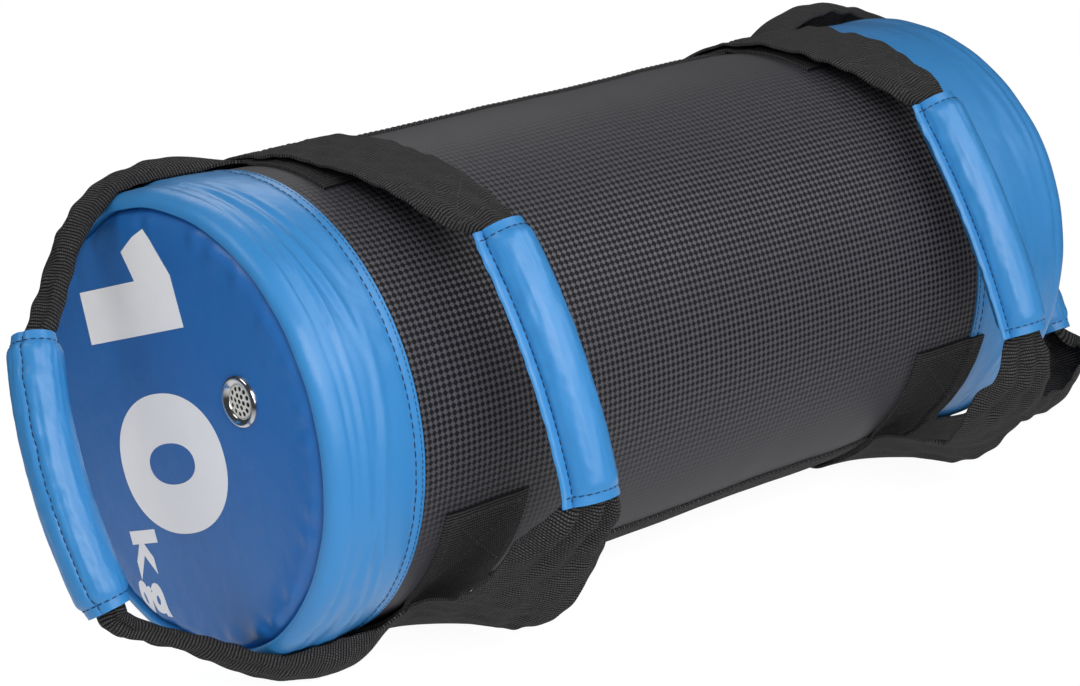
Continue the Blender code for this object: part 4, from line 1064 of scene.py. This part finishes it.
def gripPlace(handle, inset=0.0, first=0.0, last=1.0, plain=False):
    base = bagCentre + along * handle["base"]
    shape = handle["grip"]
    finned = "seamTurn" not in shape and not plain

    def place(s, t):
        share = first + (last - first) * s
        middle, normal = gripLine(handle, share)
        run = share * grip["length"] * mm
        fromEnd = np.minimum(share, 1 - share) * grip["length"]
        flat = 1 - smoothStep(fromEnd, 0, grip["endTaper"])
        endHalf = np.where(share < 0.5, shape["endHalves"][0], shape["endHalves"][1])
        wide = grip["half"] + (endHalf - grip["half"]) * flat - inset
        tall = grip["half"] + (grip["endHeight"] - grip["half"]) * flat - inset
        pinch = grip["pinch"] * np.exp(-((fromEnd - grip["pinchAt"]) / grip["pinchReach"]) ** 2)
        wide, tall = wide - pinch * 0.5, tall - pinch
        finShare = grip["finShare"] if finned else 0.0
        edge = 0.5 - np.abs(t - 0.5)
        gap = grip["finHalf"] / np.maximum(tall, 1) if finned else 0.0
        angle = math.pi - gap - np.clip((edge - finShare) / (0.5 - finShare), 0, 1) * (math.pi - gap)
        angle = angle * np.where(t < 0.5, 1, -1)
        seamAngle = math.pi if finned else math.radians(shape.get("seamTurn", 180))
        fromSeam = (angle - seamAngle + math.pi) % (2 * math.pi) - math.pi
        nearSeam = np.exp(-(fromSeam / grip["tuckTurn"]) ** 2)
        puff = grip["softHeight"] * ripple(grip["softWaves"], run, angle) * (1 - flat)
        puff = puff + grip["tuckHeight"] * nearSeam * ripple(grip["tuckWaves"], run, 0)
        cross = grip["crossHeight"] * (1 - nearSeam) * (1 - flat)
        puff = puff + cross * ripple(grip["crossWaves"], run, angle)
        puff = puff - grip["groove"] * np.exp(-(fromSeam / grip["grooveTurn"]) ** 2)
        if plain:
            puff = 0
        across = (wide + puff) * np.cos(angle)
        over = (tall + puff) * np.sin(angle)
        if finned:
            onFin = edge < finShare
            tip = np.clip(edge / finShare, 0, 1)
            wave = grip["finWave"] * ripple(grip["tuckWaves"], run, 1.0) * (1 - tip)
            half = grip["finHalf"] * np.minimum(1, (tip * grip["finRound"]) ** 0.5) * np.where(t < 0.5, 1, -1)
            out = -(wide - grip["finSink"] + grip["fin"] * (1 - tip)) + wave * grip["finWaveShare"]
            across = np.where(onFin, out, across)
            over = np.where(onFin, half + wave, over)
        points = base + np.outer((middle[:, 0] + normal[:, 0] * over) * mm, handle["out"])
        points = points + np.outer((middle[:, 1] + normal[:, 1] * over) * mm, top)
        return points + np.outer((across + shape["aside"]) * mm, handle["across"])

    return place


def alongGrip(handle):
    base = bagCentre + along * handle["base"]

    def within(middles):
        up = (middles - base) @ top / mm
        shares = np.linspace(0, 1, 60)
        line, _ = gripLine(handle, shares)
        order = np.argsort(line[:, 1])
        outAt = np.interp(up, line[order, 1], line[order, 0])
        return base + np.outer(outAt * mm, handle["out"]) + np.outer(up * mm, top)

    return within


def gripHeld(handle, place):
    # Held at both mouths and along the seam, as its stitches hold it
    seamT = np.array(grip["heldFin"])
    if "seamTurn" in handle["grip"]:
        seamT = np.array((0.5 - handle["grip"]["seamTurn"] / 360,))
    s, t = np.meshgrid(np.linspace(0, 1, 120), seamT)
    seam = place(s.ravel(), t.ravel())
    tree = KDTree(len(seam))
    for index, point in enumerate(seam):
        tree.insert(point, index)
    tree.balance()
    base = bagCentre + along * handle["base"]

    def held(points):
        distance = np.array([tree.find(point)[2] for point in points])
        up = (points - base) @ top / mm
        ends = np.array([gripLine(handle, share)[0][0, 1] for share in (0, 1)])
        fromEnd = np.minimum(ends[0] - up, up - ends[1])
        first, last = grip["heldSeam"]
        hold = 1 - smoothStep(distance, first * mm, last * mm)
        first, last = grip["heldMouth"]
        return np.maximum(hold, 1 - smoothStep(fromEnd, grip["pinchAt"] + first, grip["pinchAt"] + last))

    return held


def makeGrip(name, handle, node, foamNode):
    place = gripPlace(handle)
    size = (grip["length"] * mm, 2 * math.pi * grip["half"] * mm)
    held = gripHeld(handle, place)
    piece = cutCloth(name, grip["cells"], place, size, alongGrip(handle), closed=True, thick=grip["wall"],
                     puff=(held, grip["pressure"], grip["mostPuff"]))
    finishPiece(piece, handle["body"], blueVinyl, [node])
    inset = grip["half"] - grip["foamRadius"]
    first, last = grip["foamShares"]
    tube = gripPlace(handle, inset=inset, first=first, last=last, plain=True)
    foam = cutCloth(name + "Foam", grip["foamCells"], tube, size, alongGrip(handle), closed=True,
                    thick=grip["foamThick"])
    finishPiece(foam, handle["body"], insideFoam, [foamNode])
    return place


handles = {}
for place, handle, seed in (("near_end", nearEndHandle, 51), ("far_end", farEndHandle, 52),
                            ("near_side", nearSideHandle, 53), ("far_side", farSideHandle, 54)):
    word = place.split("_")[0] + place.split("_")[1].capitalize()
    nodes = [place + "_webbing"]
    if "side" in place:
        nodes += [place + "_upper_tail", place + "_lower_tail"]
    strapAt, strapLength = makeStrap(word + "Strap", handle, seed, nodes)
    gripAt = makeGrip(word + "Grip", handle, place + "_grip_cover", place + "_grip_foam")
    handles[word] = {"handle": handle, "strapAt": strapAt, "strapLength": strapLength, "gripAt": gripAt}
print("handles made")


# Stitches: one is modelled, then copied along each seam

def stitchShape():
    deselectAll()
    bpy.ops.mesh.primitive_uv_sphere_add(segments=8, ring_count=5, radius=0.5)
    made = bpy.context.object
    corners = np.array([vertex.co for vertex in made.data.vertices])
    faces = [tuple(face.vertices) for face in made.data.polygons]
    bpy.data.objects.remove(made, do_unlink=True)
    return corners, faces


stitchCorners, stitchFaces = stitchShape()


def sewRun(surface, path, stitch):
    # Stitches along a path of (s, t) on a surface; gives each stitch's middle and its three directions
    path = np.array(path, float)
    count = 400
    steps = np.linspace(0, len(path) - 1, count)
    s = np.interp(steps, np.arange(len(path)), path[:, 0])
    t = np.interp(steps, np.arange(len(path)), path[:, 1])
    points = surface(s, t)
    gone = np.concatenate(([0], np.cumsum(np.linalg.norm(np.diff(points, axis=0), axis=1))))
    number = max(1, int(gone[-1] / stitch["pitch"]))
    at = (np.arange(number) + 0.5) * gone[-1] / number
    sAt, tAt = np.interp(at, gone, s), np.interp(at, gone, t)
    small = 0.0015
    centre = surface(sAt, tAt)
    runS = surface(np.clip(sAt + small, 0, 1), tAt) - surface(np.clip(sAt - small, 0, 1), tAt)
    runT = surface(sAt, np.clip(tAt + small, 0, 1)) - surface(sAt, np.clip(tAt - small, 0, 1))
    normal = np.cross(runS, runT)
    normal /= np.linalg.norm(normal, axis=1)[:, None] + 1e-12
    near = 0.3 * mm
    ahead = np.column_stack([np.interp(at + near, gone, points[:, i]) for i in range(3)])
    behind = np.column_stack([np.interp(at - near, gone, points[:, i]) for i in range(3)])
    heading = ahead - behind
    heading /= np.linalg.norm(heading, axis=1)[:, None] + 1e-12
    side = np.cross(normal, heading)
    return centre, heading, side, normal


def sew(name, runs, stitch, material, body=None):
    # runs are (surface, path, lift, away): the lift is how far the thread's middle lies off the surface,
    # outwards from what away gives
    corners, faces = [], []
    for surface, path, lift, away in runs:
        centre, heading, side, normal = sewRun(surface, path, stitch)
        outward = np.sign(np.einsum("ij,ij->i", normal, centre - away(centre)))[:, None]
        centre = centre + normal * outward * lift
        for middle, ahead, across, up in zip(centre, heading, side, normal):
            shape = np.outer(stitchCorners[:, 2] * stitch["length"], ahead)
            shape += np.outer(stitchCorners[:, 0] * stitch["width"], across)
            shape += np.outer(stitchCorners[:, 1] * stitch["height"], up)
            base = len(corners) * len(stitchCorners)
            corners.append(middle + shape)
            faces += [tuple(base + i for i in face) for face in stitchFaces]
    mesh = bpy.data.meshes.new(name)
    mesh.from_pydata(np.concatenate(corners).tolist(), [], faces)
    mesh.update()
    piece = bpy.data.objects.new(name, mesh)
    bpy.context.scene.collection.objects.link(piece)
    pick(piece)
    bpy.ops.object.mode_set(mode="EDIT")
    bpy.ops.mesh.select_all(action="SELECT")
    bpy.ops.mesh.normals_make_consistent(inside=False)
    bpy.ops.object.mode_set(mode="OBJECT")
    return finishPiece(piece, body, material)


def fromAxis(points):
    return np.column_stack((points[:, 0], np.zeros(len(points)), np.full(len(points), axisHeight)))


def circlePath(s, firstT=0.0, lastT=1.0):
    return [(s, t) for t in np.linspace(firstT, lastT, 60)]


hemStitch = {
    "length": 3.4 * mm, "pitch": 4.3 * mm, "width": 0.75 * mm, "height": 0.55 * mm, "lift": 0.05 * mm,
}
edgeStitch = {
    "length": 2.2 * mm, "pitch": 2.9 * mm, "width": 0.45 * mm, "height": 0.40 * mm, "lift": 0.02 * mm,
    "inset": 1.5 * mm,
}
gripStitch = {
    "length": 2.9 * mm, "pitch": 3.6 * mm, "width": 0.60 * mm, "height": 0.50 * mm, "lift": 0.12 * mm,
    "mouthLift": 0.10 * mm, "finShares": (0.112, 0.888), "alongShares": (0.012, 0.988),
    "aroundShares": (0.02, 0.98),
}
strapStitch = {
    "length": 2.7 * mm, "pitch": 3.4 * mm, "width": 0.70 * mm, "height": 0.55 * mm, "lift": 0.05 * mm,
    "endInset": 4.5 * mm, "rimShare": 0.09, "patch": 42 * mm, "halfPatch": 21 * mm,
    "rowShares": (0.07, 0.93), "alongShares": (0.15, 0.85), "root": (5, 44), "rootRimShare": 0.1,
}


def sewCaps():
    for name, side in (("near", -1), ("far", 1)):
        surface, total = bandPlace(side)
        hem = circlePath(cap["hemStitch"] / total)
        sew(name + "HemThread", [(surface, hem, hemStitch["lift"], fromAxis)],
            hemStitch, navyThread, "bag")
        edge = circlePath(edgeStitch["inset"] / total)
        sew(name + "EdgeThread", [(surface, edge, edgeStitch["lift"], fromAxis)],
            edgeStitch, navyThread, "bag")


def boxAndCross(lowS, highS, lowT, highT):
    def edge(first, last):
        first, last = np.array(first), np.array(last)
        return [tuple(first + (last - first) * share) for share in np.linspace(0, 1, 12)]

    corners = ((lowS, lowT), (highS, lowT), (highS, highT), (lowS, highT))
    return [edge(corners[i], corners[j]) for i, j in ((0, 1), (1, 2), (2, 3), (3, 0), (0, 2), (1, 3))]


def sewStraps():
    lift = webbing["thick"] + strapStitch["lift"]
    hoopLength = math.radians(hoop["lastTurn"] - hoop["firstTurn"]) * bagRadius
    inset, rim = strapStitch["endInset"] / hoopLength, strapStitch["rimShare"]
    patch = strapStitch["patch"] / hoopLength
    for name, surface in (("near", nearHoopPlace), ("far", farHoopPlace)):
        runs = []
        for low, high in ((inset, patch), (1 - patch, 1 - inset)):
            runs += [(surface, path, lift, fromAxis) for path in boxAndCross(low, high, rim, 1 - rim)]
        middles = [(math.radians(angle - hoop["firstTurn"]) * bagRadius / hoopLength) for angle in (90, 270)]
        reach = strapStitch["halfPatch"] / hoopLength
        for middle in middles:
            for path in boxAndCross(middle - reach, middle + reach, rim, 1 - rim):
                runs.append((surface, path, lift, fromAxis))
        sew(name + "HoopThread", runs, strapStitch, blackThread, "bag")
    runs = []
    for surface in (topStrapPlace, bottomStrapPlace):
        for t in strapStitch["rowShares"]:
            path = [(s, t) for s in np.linspace(*strapStitch["alongShares"], 20)]
            runs.append((surface, path, lift, fromAxis))
    sew("longStrapThread", runs, strapStitch, blackThread, "bag")


def sewGrips():
    for word, made in handles.items():
        handle, surface = made["handle"], made["gripAt"]
        away = alongGrip(handle)
        seams = gripStitch["finShares"]
        if "seamTurn" in handle["grip"]:
            seams = (0.5 - handle["grip"]["seamTurn"] / 360,)
        runs = []
        for t in seams:
            path = [(s, t) for s in np.linspace(*gripStitch["alongShares"], 30)]
            runs.append((surface, path, gripStitch["lift"], away))
        for s in (grip["pinchAt"] / grip["length"], 1 - grip["pinchAt"] / grip["length"]):
            path = [(s, t) for t in np.linspace(*gripStitch["aroundShares"], 48)]
            runs.append((surface, path, gripStitch["mouthLift"], away))
        sew(word + "GripThread", runs, gripStitch, navyThread, handle["body"])


def sewHandleRoots():
    # Two boxes with a cross on each side handle: at its upper root, and where its strap nears the grip
    lift = webbing["thick"] / 2 + strapStitch["lift"]
    rim = strapStitch["rootRimShare"]
    for word in ("nearSide", "farSide"):
        made = handles[word]
        handle, surface, total = made["handle"], made["strapAt"], made["strapLength"]
        runs = []
        for first, last in (strapStitch["root"], handle["sewn"]):
            runs += [(surface, path, lift, fromAxis)
                     for path in boxAndCross(first * mm / total, last * mm / total, rim, 1 - rim)]
        piece = sew(word + "StrapThread", runs, strapStitch, blackThread)
        blendStrap(piece)


sewCaps()
sewStraps()
sewGrips()
sewHandleRoots()
print("stitches made")


# The weight mark, printed on the near panel. It reads down the panel, turned a little.

mark = {
    "turn": math.radians(9.8), "lift": 0.17 * mm, "thick": 0.14 * mm, "cell": 2.5 * mm, "flat": 0.090,
    "squeeze": 0.62, "cells": 38, "weld": 0.02 * mm,
    "one": [(-94.4, 13.2), (-69.9, 26.5), (-46.1, 28.1), (-46.1, -48.0), (-70.6, -47.9), (-70.6, -1.5),
            (-84.6, -6.8)],
    "nought": {"middle": (13.3, -6.0), "half": (32.5, 41.0), "hole": (9.5, 18.0), "squareness": 2.15},
    "unit": {"text": "kg", "left": 42.0, "right": 86.0, "base": -55.0, "height": 20.5, "bold": 0.030,
             "spacing": 1.26, "curveSteps": 4},
}


panelTree = BVHTree.FromPolygons([vertex.co for vertex in nearPanel.data.vertices],
                                 [tuple(face.vertices) for face in nearPanel.data.polygons])


def panelFace(point):
    # x of the near panel's outside, in front of a point
    start = nearEnd - 50 * mm
    hit = panelTree.ray_cast(Vector((start, point[1], point[2])), Vector((1, 0, 0)))
    return hit[0].x


def flatOutline(name, loops):
    curve = bpy.data.curves.new(name, "CURVE")
    curve.dimensions = "2D"
    curve.fill_mode = "BOTH"
    for loop in loops:
        spline = curve.splines.new("POLY")
        spline.points.add(len(loop) - 1)
        for point, (first, second) in zip(spline.points, loop):
            point.co = (first * mm, second * mm, 0, 1)
        spline.use_cyclic_u = True
    made = bpy.data.objects.new(name, curve)
    bpy.context.scene.collection.objects.link(made)
    return made


def roundLoop(middle, half, squareness, count=72):
    points = []
    for step in range(count):
        angle = 2 * math.pi * step / count
        cosine, sine = math.cos(angle), math.sin(angle)
        points.append((middle[0] + half[0] * math.copysign(abs(cosine) ** (2 / squareness), cosine),
                       middle[1] + half[1] * math.copysign(abs(sine) ** (2 / squareness), sine)))
    return points


def printMark(piece, name):
    # Cuts the flat shape into small cells and lays it on the panel
    pick(piece)
    bpy.ops.object.convert(target="MESH")
    piece = bpy.context.object
    piece.name = name
    bpy.ops.object.mode_set(mode="EDIT")
    bpy.ops.mesh.select_all(action="SELECT")
    bpy.ops.mesh.remove_doubles(threshold=mark["weld"])
    for normal in ((1, 0, 0), (0, 1, 0)):
        for step in range(-mark["cells"], mark["cells"] + 1):
            place = tuple(axis * step * mark["cell"] for axis in normal)
            bpy.ops.mesh.select_all(action="SELECT")
            bpy.ops.mesh.bisect(plane_co=place, plane_no=normal)
    bpy.ops.mesh.select_all(action="SELECT")
    bpy.ops.mesh.remove_doubles(threshold=mark["weld"])
    bpy.ops.object.mode_set(mode="OBJECT")
    flat = np.array([vertex.co for vertex in piece.data.vertices])
    cosine, sine = math.cos(mark["turn"]), math.sin(mark["turn"])
    forward = -sine * flat[:, 0] + cosine * flat[:, 1]
    upward = -cosine * flat[:, 0] - sine * flat[:, 1]
    radius, turn = np.hypot(forward, upward), np.arctan2(upward, forward)
    over = np.clip(radius - mark["flat"], 0, None)
    radius = radius - over * (1 - mark["squeeze"])
    laid = onBag(0.0, radius, turn)
    laid[:, 0] = [panelFace(point) - mark["lift"] for point in laid]
    piece.data.vertices.foreach_set("co", laid.ravel())
    piece.data.update()
    normals = np.array([face.normal for face in piece.data.polygons])
    bpy.ops.object.mode_set(mode="EDIT")
    bpy.ops.mesh.select_all(action="SELECT")
    if normals[:, 0].mean() > 0:
        bpy.ops.mesh.flip_normals()
    bpy.ops.object.mode_set(mode="OBJECT")
    thicken(piece, mark["thick"], 0)
    return finishPiece(piece, "bag", paleInk)


def makeMark():
    printMark(flatOutline("one", [mark["one"]]), "markOne")
    nought = mark["nought"]
    halves = (nought["half"], nought["hole"])
    loops = [roundLoop(nought["middle"], half, nought["squareness"]) for half in halves]
    printMark(flatOutline("nought", loops), "markNought")
    unit = mark["unit"]
    deselectAll()
    bpy.ops.object.text_add()
    words = bpy.context.object
    words.data.body = unit["text"]
    words.data.offset = unit["bold"]
    words.data.space_character = unit["spacing"]
    words.data.resolution_u = unit["curveSteps"]
    bpy.ops.object.convert(target="MESH")
    words = bpy.context.object
    spots = np.array([vertex.co for vertex in words.data.vertices])
    low, high = spots.min(0), spots.max(0)
    share = (spots[:, 0] - low[0]) / (high[0] - low[0])
    spots[:, 0] = (unit["left"] + share * (unit["right"] - unit["left"])) * mm
    spots[:, 1] = (unit["base"] + spots[:, 1] / high[1] * unit["height"]) * mm
    spots[:, 2] = 0
    words.data.vertices.foreach_set("co", spots.ravel())
    words.data.update()
    printMark(words, "markUnit")


makeMark()
print("weight mark printed")


# The air vent

vent = {
    "offset": 57 * mm, "ring": 11.9 * mm, "lip": 9.9 * mm, "bore": 7.6 * mm, "height": 1.8 * mm, "sides": 96,
    "barrel": 5.5 * mm, "hole": 1.12 * mm, "holeSides": 16, "rings": (1, 6, 12), "pitch": 2.9 * mm,
    "screenThick": 0.35 * mm, "screenDome": 0.6 * mm, "screenDepth": -0.1 * mm, "screenGap": 0.1 * mm,
    "shadeDiscDepth": 3.4 * mm, "shadeDiscLap": 0.3 * mm, "shadeDiscThick": 0.3 * mm, "openingSides": 48,
    "openingGap": 1.2 * mm, "openingDepth": 30 * mm,
}


def ventPlace():
    # The vent is modelled facing up, and turned to face out of the panel
    turn = Matrix.Rotation(math.radians(-90), 4, "Y")
    middle = Vector(bagCentre + front * vent["offset"])
    middle.x = panelFace(middle)
    return Matrix.Translation(middle) @ turn


ventMatrix = ventPlace()


def cutPanelForVent():
    deselectAll()
    bpy.ops.mesh.primitive_cylinder_add(vertices=vent["openingSides"], depth=vent["openingDepth"],
                                        radius=vent["bore"] + vent["openingGap"])
    cutter = bpy.context.object
    cutter.data.transform(ventMatrix)
    for piece in (nearPanel, nearFoam):
        cutOut(piece, cutter)
    bpy.data.objects.remove(cutter, do_unlink=True)


# A black disc deep in the barrel, behind the screen: painted shade that darkens the holes
def makeVentShadeDisc():
    deselectAll()
    bpy.ops.mesh.primitive_cylinder_add(vertices=vent["openingSides"], radius=vent["bore"] + vent["shadeDiscLap"],
                                        depth=vent["shadeDiscThick"], location=(0, 0, -vent["shadeDiscDepth"]))
    shadeDisc = bpy.context.object
    shadeDisc.name = "ventShadeDisc"
    bpy.ops.object.transform_apply(location=True, rotation=False, scale=False)
    shadeDisc.data.transform(ventMatrix)
    return finishPiece(shadeDisc, "bag", blackThread)


def makeVentRing():
    deselectAll()
    bpy.ops.mesh.primitive_circle_add(vertices=vent["sides"], radius=vent["ring"], fill_type="NOTHING")
    ring = bpy.context.object
    bpy.ops.object.mode_set(mode="EDIT")
    bpy.ops.mesh.select_all(action="SELECT")
    # Out of the panel, over a rounded lip, and down the barrel
    outer, lip, bore, high, deep = (vent[key] for key in ("ring", "lip", "bore", "height", "barrel"))
    sunk, thick = 0.3 * mm, 0.8 * mm
    profile = [(outer, -sunk), (outer, 0.5 * mm), (outer - 0.35 * mm, 1.15 * mm), (outer - 1.1 * mm, high),
               (lip + 0.4 * mm, high + 0.05 * mm), (lip - 0.5 * mm, high - 0.25 * mm),
               (bore + 0.7 * mm, 0.85 * mm), (bore + 0.1 * mm, 0.3 * mm), (bore, -sunk), (bore, -deep),
               (bore + thick, -deep), (bore + thick, -sunk)]
    bpy.ops.transform.translate(value=(0, 0, profile[0][1]))
    at = profile[0]
    for radius, height in profile[1:]:
        bpy.ops.mesh.extrude_region_move(TRANSFORM_OT_translate={"value": (0, 0, height - at[1])})
        scale = radius / at[0]
        bpy.ops.transform.resize(value=(scale, scale, 1), center_override=(0, 0, height))
        at = (radius, height)
    bpy.ops.mesh.select_all(action="DESELECT")
    bpy.ops.mesh.select_non_manifold(extend=False)
    bpy.ops.mesh.bridge_edge_loops()
    bpy.ops.mesh.select_all(action="SELECT")
    bpy.ops.mesh.normals_make_consistent(inside=False)
    bpy.ops.object.mode_set(mode="OBJECT")
    ring.name = "ventRing"
    ring.data.transform(ventMatrix)
    return finishPiece(ring, "bag", chrome, ["vent_flange"])


def makeVentScreen():
    deselectAll()
    bpy.ops.mesh.primitive_cylinder_add(vertices=vent["sides"], radius=vent["bore"] - vent["screenGap"],
                                        depth=vent["screenThick"])
    screen = bpy.context.object
    screen.name = "ventScreen"
    pins = []
    for ring, count in enumerate(vent["rings"]):
        for step in range(count):
            angle = 2 * math.pi * (step + 0.5 * (ring % 2)) / count
            spot = (ring * vent["pitch"] * math.cos(angle), ring * vent["pitch"] * math.sin(angle), 0)
            bpy.ops.mesh.primitive_cylinder_add(vertices=vent["holeSides"], radius=vent["hole"],
                                                depth=4 * vent["screenThick"], location=spot)
            pins.append(bpy.context.object)
    pick(pins[0])
    for pin in pins:
        pin.select_set(True)
    bpy.ops.object.join()
    pin = bpy.context.object
    cutOut(screen, pin)
    bpy.data.objects.remove(pin, do_unlink=True)
    for vertex in screen.data.vertices:  # domed a little, as it is pressed
        away = math.hypot(vertex.co.x, vertex.co.y) / vent["bore"]
        vertex.co.z += vent["screenDome"] * (1 - away * away) + vent["screenDepth"]
    screen.data.transform(ventMatrix)
    return finishPiece(screen, "bag", satinChrome, ["vent_screen"])


cutPanelForVent()
makeVentShadeDisc()
makeVentRing()
makeVentScreen()
print("vent made")


# What the skin hides keeps the frame's own solids

insideFinishes = {
    "foam_wrap": insideFoam, "sand_sack": sackCloth,
    "sack_tie": tieCord, "sand_fill": drySand, "vent_washer": chrome,
}
for node, material in insideFinishes.items():
    piece = frame["nodes"][node]
    if not piece.material_slots:
        piece.data.materials.append(material)
    for materialSlot in piece.material_slots:
        materialSlot.material = material
print("inside finished")


# The stage: a pale floor, soft light and the photograph's camera

stage = {
    "floor": 9.0, "floorColour": (0.86, 0.86, 0.87, 1), "floorGlow": 0.86, "mirrorReach": (0.10, 0.42),
    "floorTint": (0.88, 0.88, 0.88, 1), "white": 1.1, "ambient": 0.39, "mirrored": 0.05, "mirrorGlow": 0.76,
    "camera": (-1.0464, -1.0929, 0.6106), "turn": (90 - 18.91, 0, -42.98), "lens": 106.45, "sensor": 36,
    "floorDrop": 0.1 * mm, "floorCells": 8,
}
lamps = {
    "keySoftbox": {"place": (-0.85, -1.25, 1.05), "size": (0.9, 0.7), "power": 9.5},
    "midSoftbox": {"place": (-0.15, -1.25, 1.05), "size": (0.9, 0.6), "power": 5.5},
    "lowSoftbox": {"place": (-0.20, -1.60, 0.45), "size": (1.4, 0.5), "power": 5},
    "endSoftbox": {"place": (-1.20, 0.50, 1.60), "size": (0.9, 0.7), "power": 4.5},
    "sheenSoftbox": {"place": (0.50, -0.75, 1.05), "size": (0.9, 1.1), "power": 6.5, "sheen": True},
    "backSheenSoftbox": {"place": (0.40, 0.75, 0.90), "size": (0.7, 0.5), "power": 2.6, "sheen": True},
}


def makeFloor():
    deselectAll()
    bpy.ops.mesh.primitive_grid_add(x_subdivisions=stage["floorCells"], y_subdivisions=stage["floorCells"],
                                    size=stage["floor"], location=(0, 0, -stage["floorDrop"]))
    floor = bpy.context.object
    floor.name = "floor"
    bpy.ops.object.transform_apply(location=True, rotation=False, scale=False)
    made = bpy.data.materials.new("paleFloor")
    made.use_nodes = True
    tree = made.node_tree
    tree.nodes.clear()
    grain = placeGroup(tree, fineGrain, grainSize=0.002, blotchSize=0.4)
    tint = mixColours(tree, grain.outputs["Blotch"], stage["floorColour"], stage["floorTint"])
    matt = nodeIn(tree, "ShaderNodeBsdfDiffuse", {"Color": tint})
    glow = nodeIn(tree, "ShaderNodeEmission", {"Color": (1, 1, 1, 1), "Strength": stage["white"]})
    path = nodeIn(tree, "ShaderNodeLightPath")
    share = calculate(tree, "MULTIPLY", path.outputs["Is Camera Ray"], stage["floorGlow"])
    bright = nodeIn(tree, "ShaderNodeMixShader", {0: share, 1: matt.outputs[0], 2: glow.outputs[0]})
    # Painted reflection: for glossy rays the floor glows, brightly near the bag and faintly further off, so
    # the vinyl's gloss shows a bright floor only near the bag
    place = nodeIn(tree, "ShaderNodeTexCoord").outputs["Object"]
    for operation, value in (("ABSOLUTE", None), ("SUBTRACT", (farEnd, 0, 0)), ("MAXIMUM", (0, 0, 0))):
        inputs = {0: place} if value is None else {0: place, 1: value}
        place = nodeIn(tree, "ShaderNodeVectorMath", inputs, operation=operation).outputs[0]
    away = nodeIn(tree, "ShaderNodeVectorMath", {0: place}, operation="LENGTH").outputs["Value"]
    first, last = stage["mirrorReach"]
    near = nodeIn(tree, "ShaderNodeMapRange", {"Value": away, "From Min": first, "From Max": last,
                                               "To Min": stage["mirrorGlow"], "To Max": stage["mirrored"]})
    mirror = nodeIn(tree, "ShaderNodeEmission", {"Strength": near.outputs[0]})
    mixed = nodeIn(tree, "ShaderNodeMixShader", {0: path.outputs["Is Glossy Ray"], 1: bright.outputs[0],
                                                 2: mirror.outputs[0]})
    output = nodeIn(tree, "ShaderNodeOutputMaterial")
    tree.links.new(mixed.outputs[0], output.inputs[0])
    floor.data.materials.append(made)


def makeWorld():
    world = bpy.data.worlds.new("studio")
    bpy.context.scene.world = world
    world.use_nodes = True
    tree = world.node_tree
    tree.nodes.clear()
    path = nodeIn(tree, "ShaderNodeLightPath")
    soft = nodeIn(tree, "ShaderNodeBackground", {"Color": (1, 1, 1, 1), "Strength": stage["ambient"]})
    mirror = nodeIn(tree, "ShaderNodeBackground", {"Color": (1, 1, 1, 1), "Strength": stage["mirrored"]})
    white = nodeIn(tree, "ShaderNodeBackground", {"Color": (1, 1, 1, 1), "Strength": stage["white"]})
    first = nodeIn(tree, "ShaderNodeMixShader", {0: path.outputs["Is Glossy Ray"], 1: soft.outputs[0],
                                                 2: mirror.outputs[0]})
    mixed = nodeIn(tree, "ShaderNodeMixShader", {0: path.outputs["Is Camera Ray"], 1: first.outputs[0],
                                                 2: white.outputs[0]})
    output = nodeIn(tree, "ShaderNodeOutputWorld")
    tree.links.new(mixed.outputs[0], output.inputs[0])


def makeLamps():
    target = Vector((0, 0, axisHeight))
    for name, lamp in lamps.items():
        light = bpy.data.lights.new(name, "AREA")
        light.shape = "RECTANGLE"
        light.size, light.size_y = lamp["size"]
        light.energy = lamp["power"]
        made = bpy.data.objects.new(name, light)
        bpy.context.scene.collection.objects.link(made)
        made.location = lamp["place"]
        made.visible_diffuse = not lamp.get("sheen", False)
        made.rotation_euler = (target - made.location).to_track_quat("-Z", "Y").to_euler()


def makeCamera():
    data = bpy.data.cameras.new("camera")
    data.lens = stage["lens"]
    data.sensor_width = stage["sensor"]
    made = bpy.data.objects.new("camera", data)
    bpy.context.scene.collection.objects.link(made)
    made.location = stage["camera"]
    made.rotation_euler = [math.radians(angle) for angle in stage["turn"]]
    bpy.context.scene.camera = made


makeFloor()
makeWorld()
makeLamps()
makeCamera()
bpy.context.scene.view_settings.view_transform = "Standard"
print("stage set")
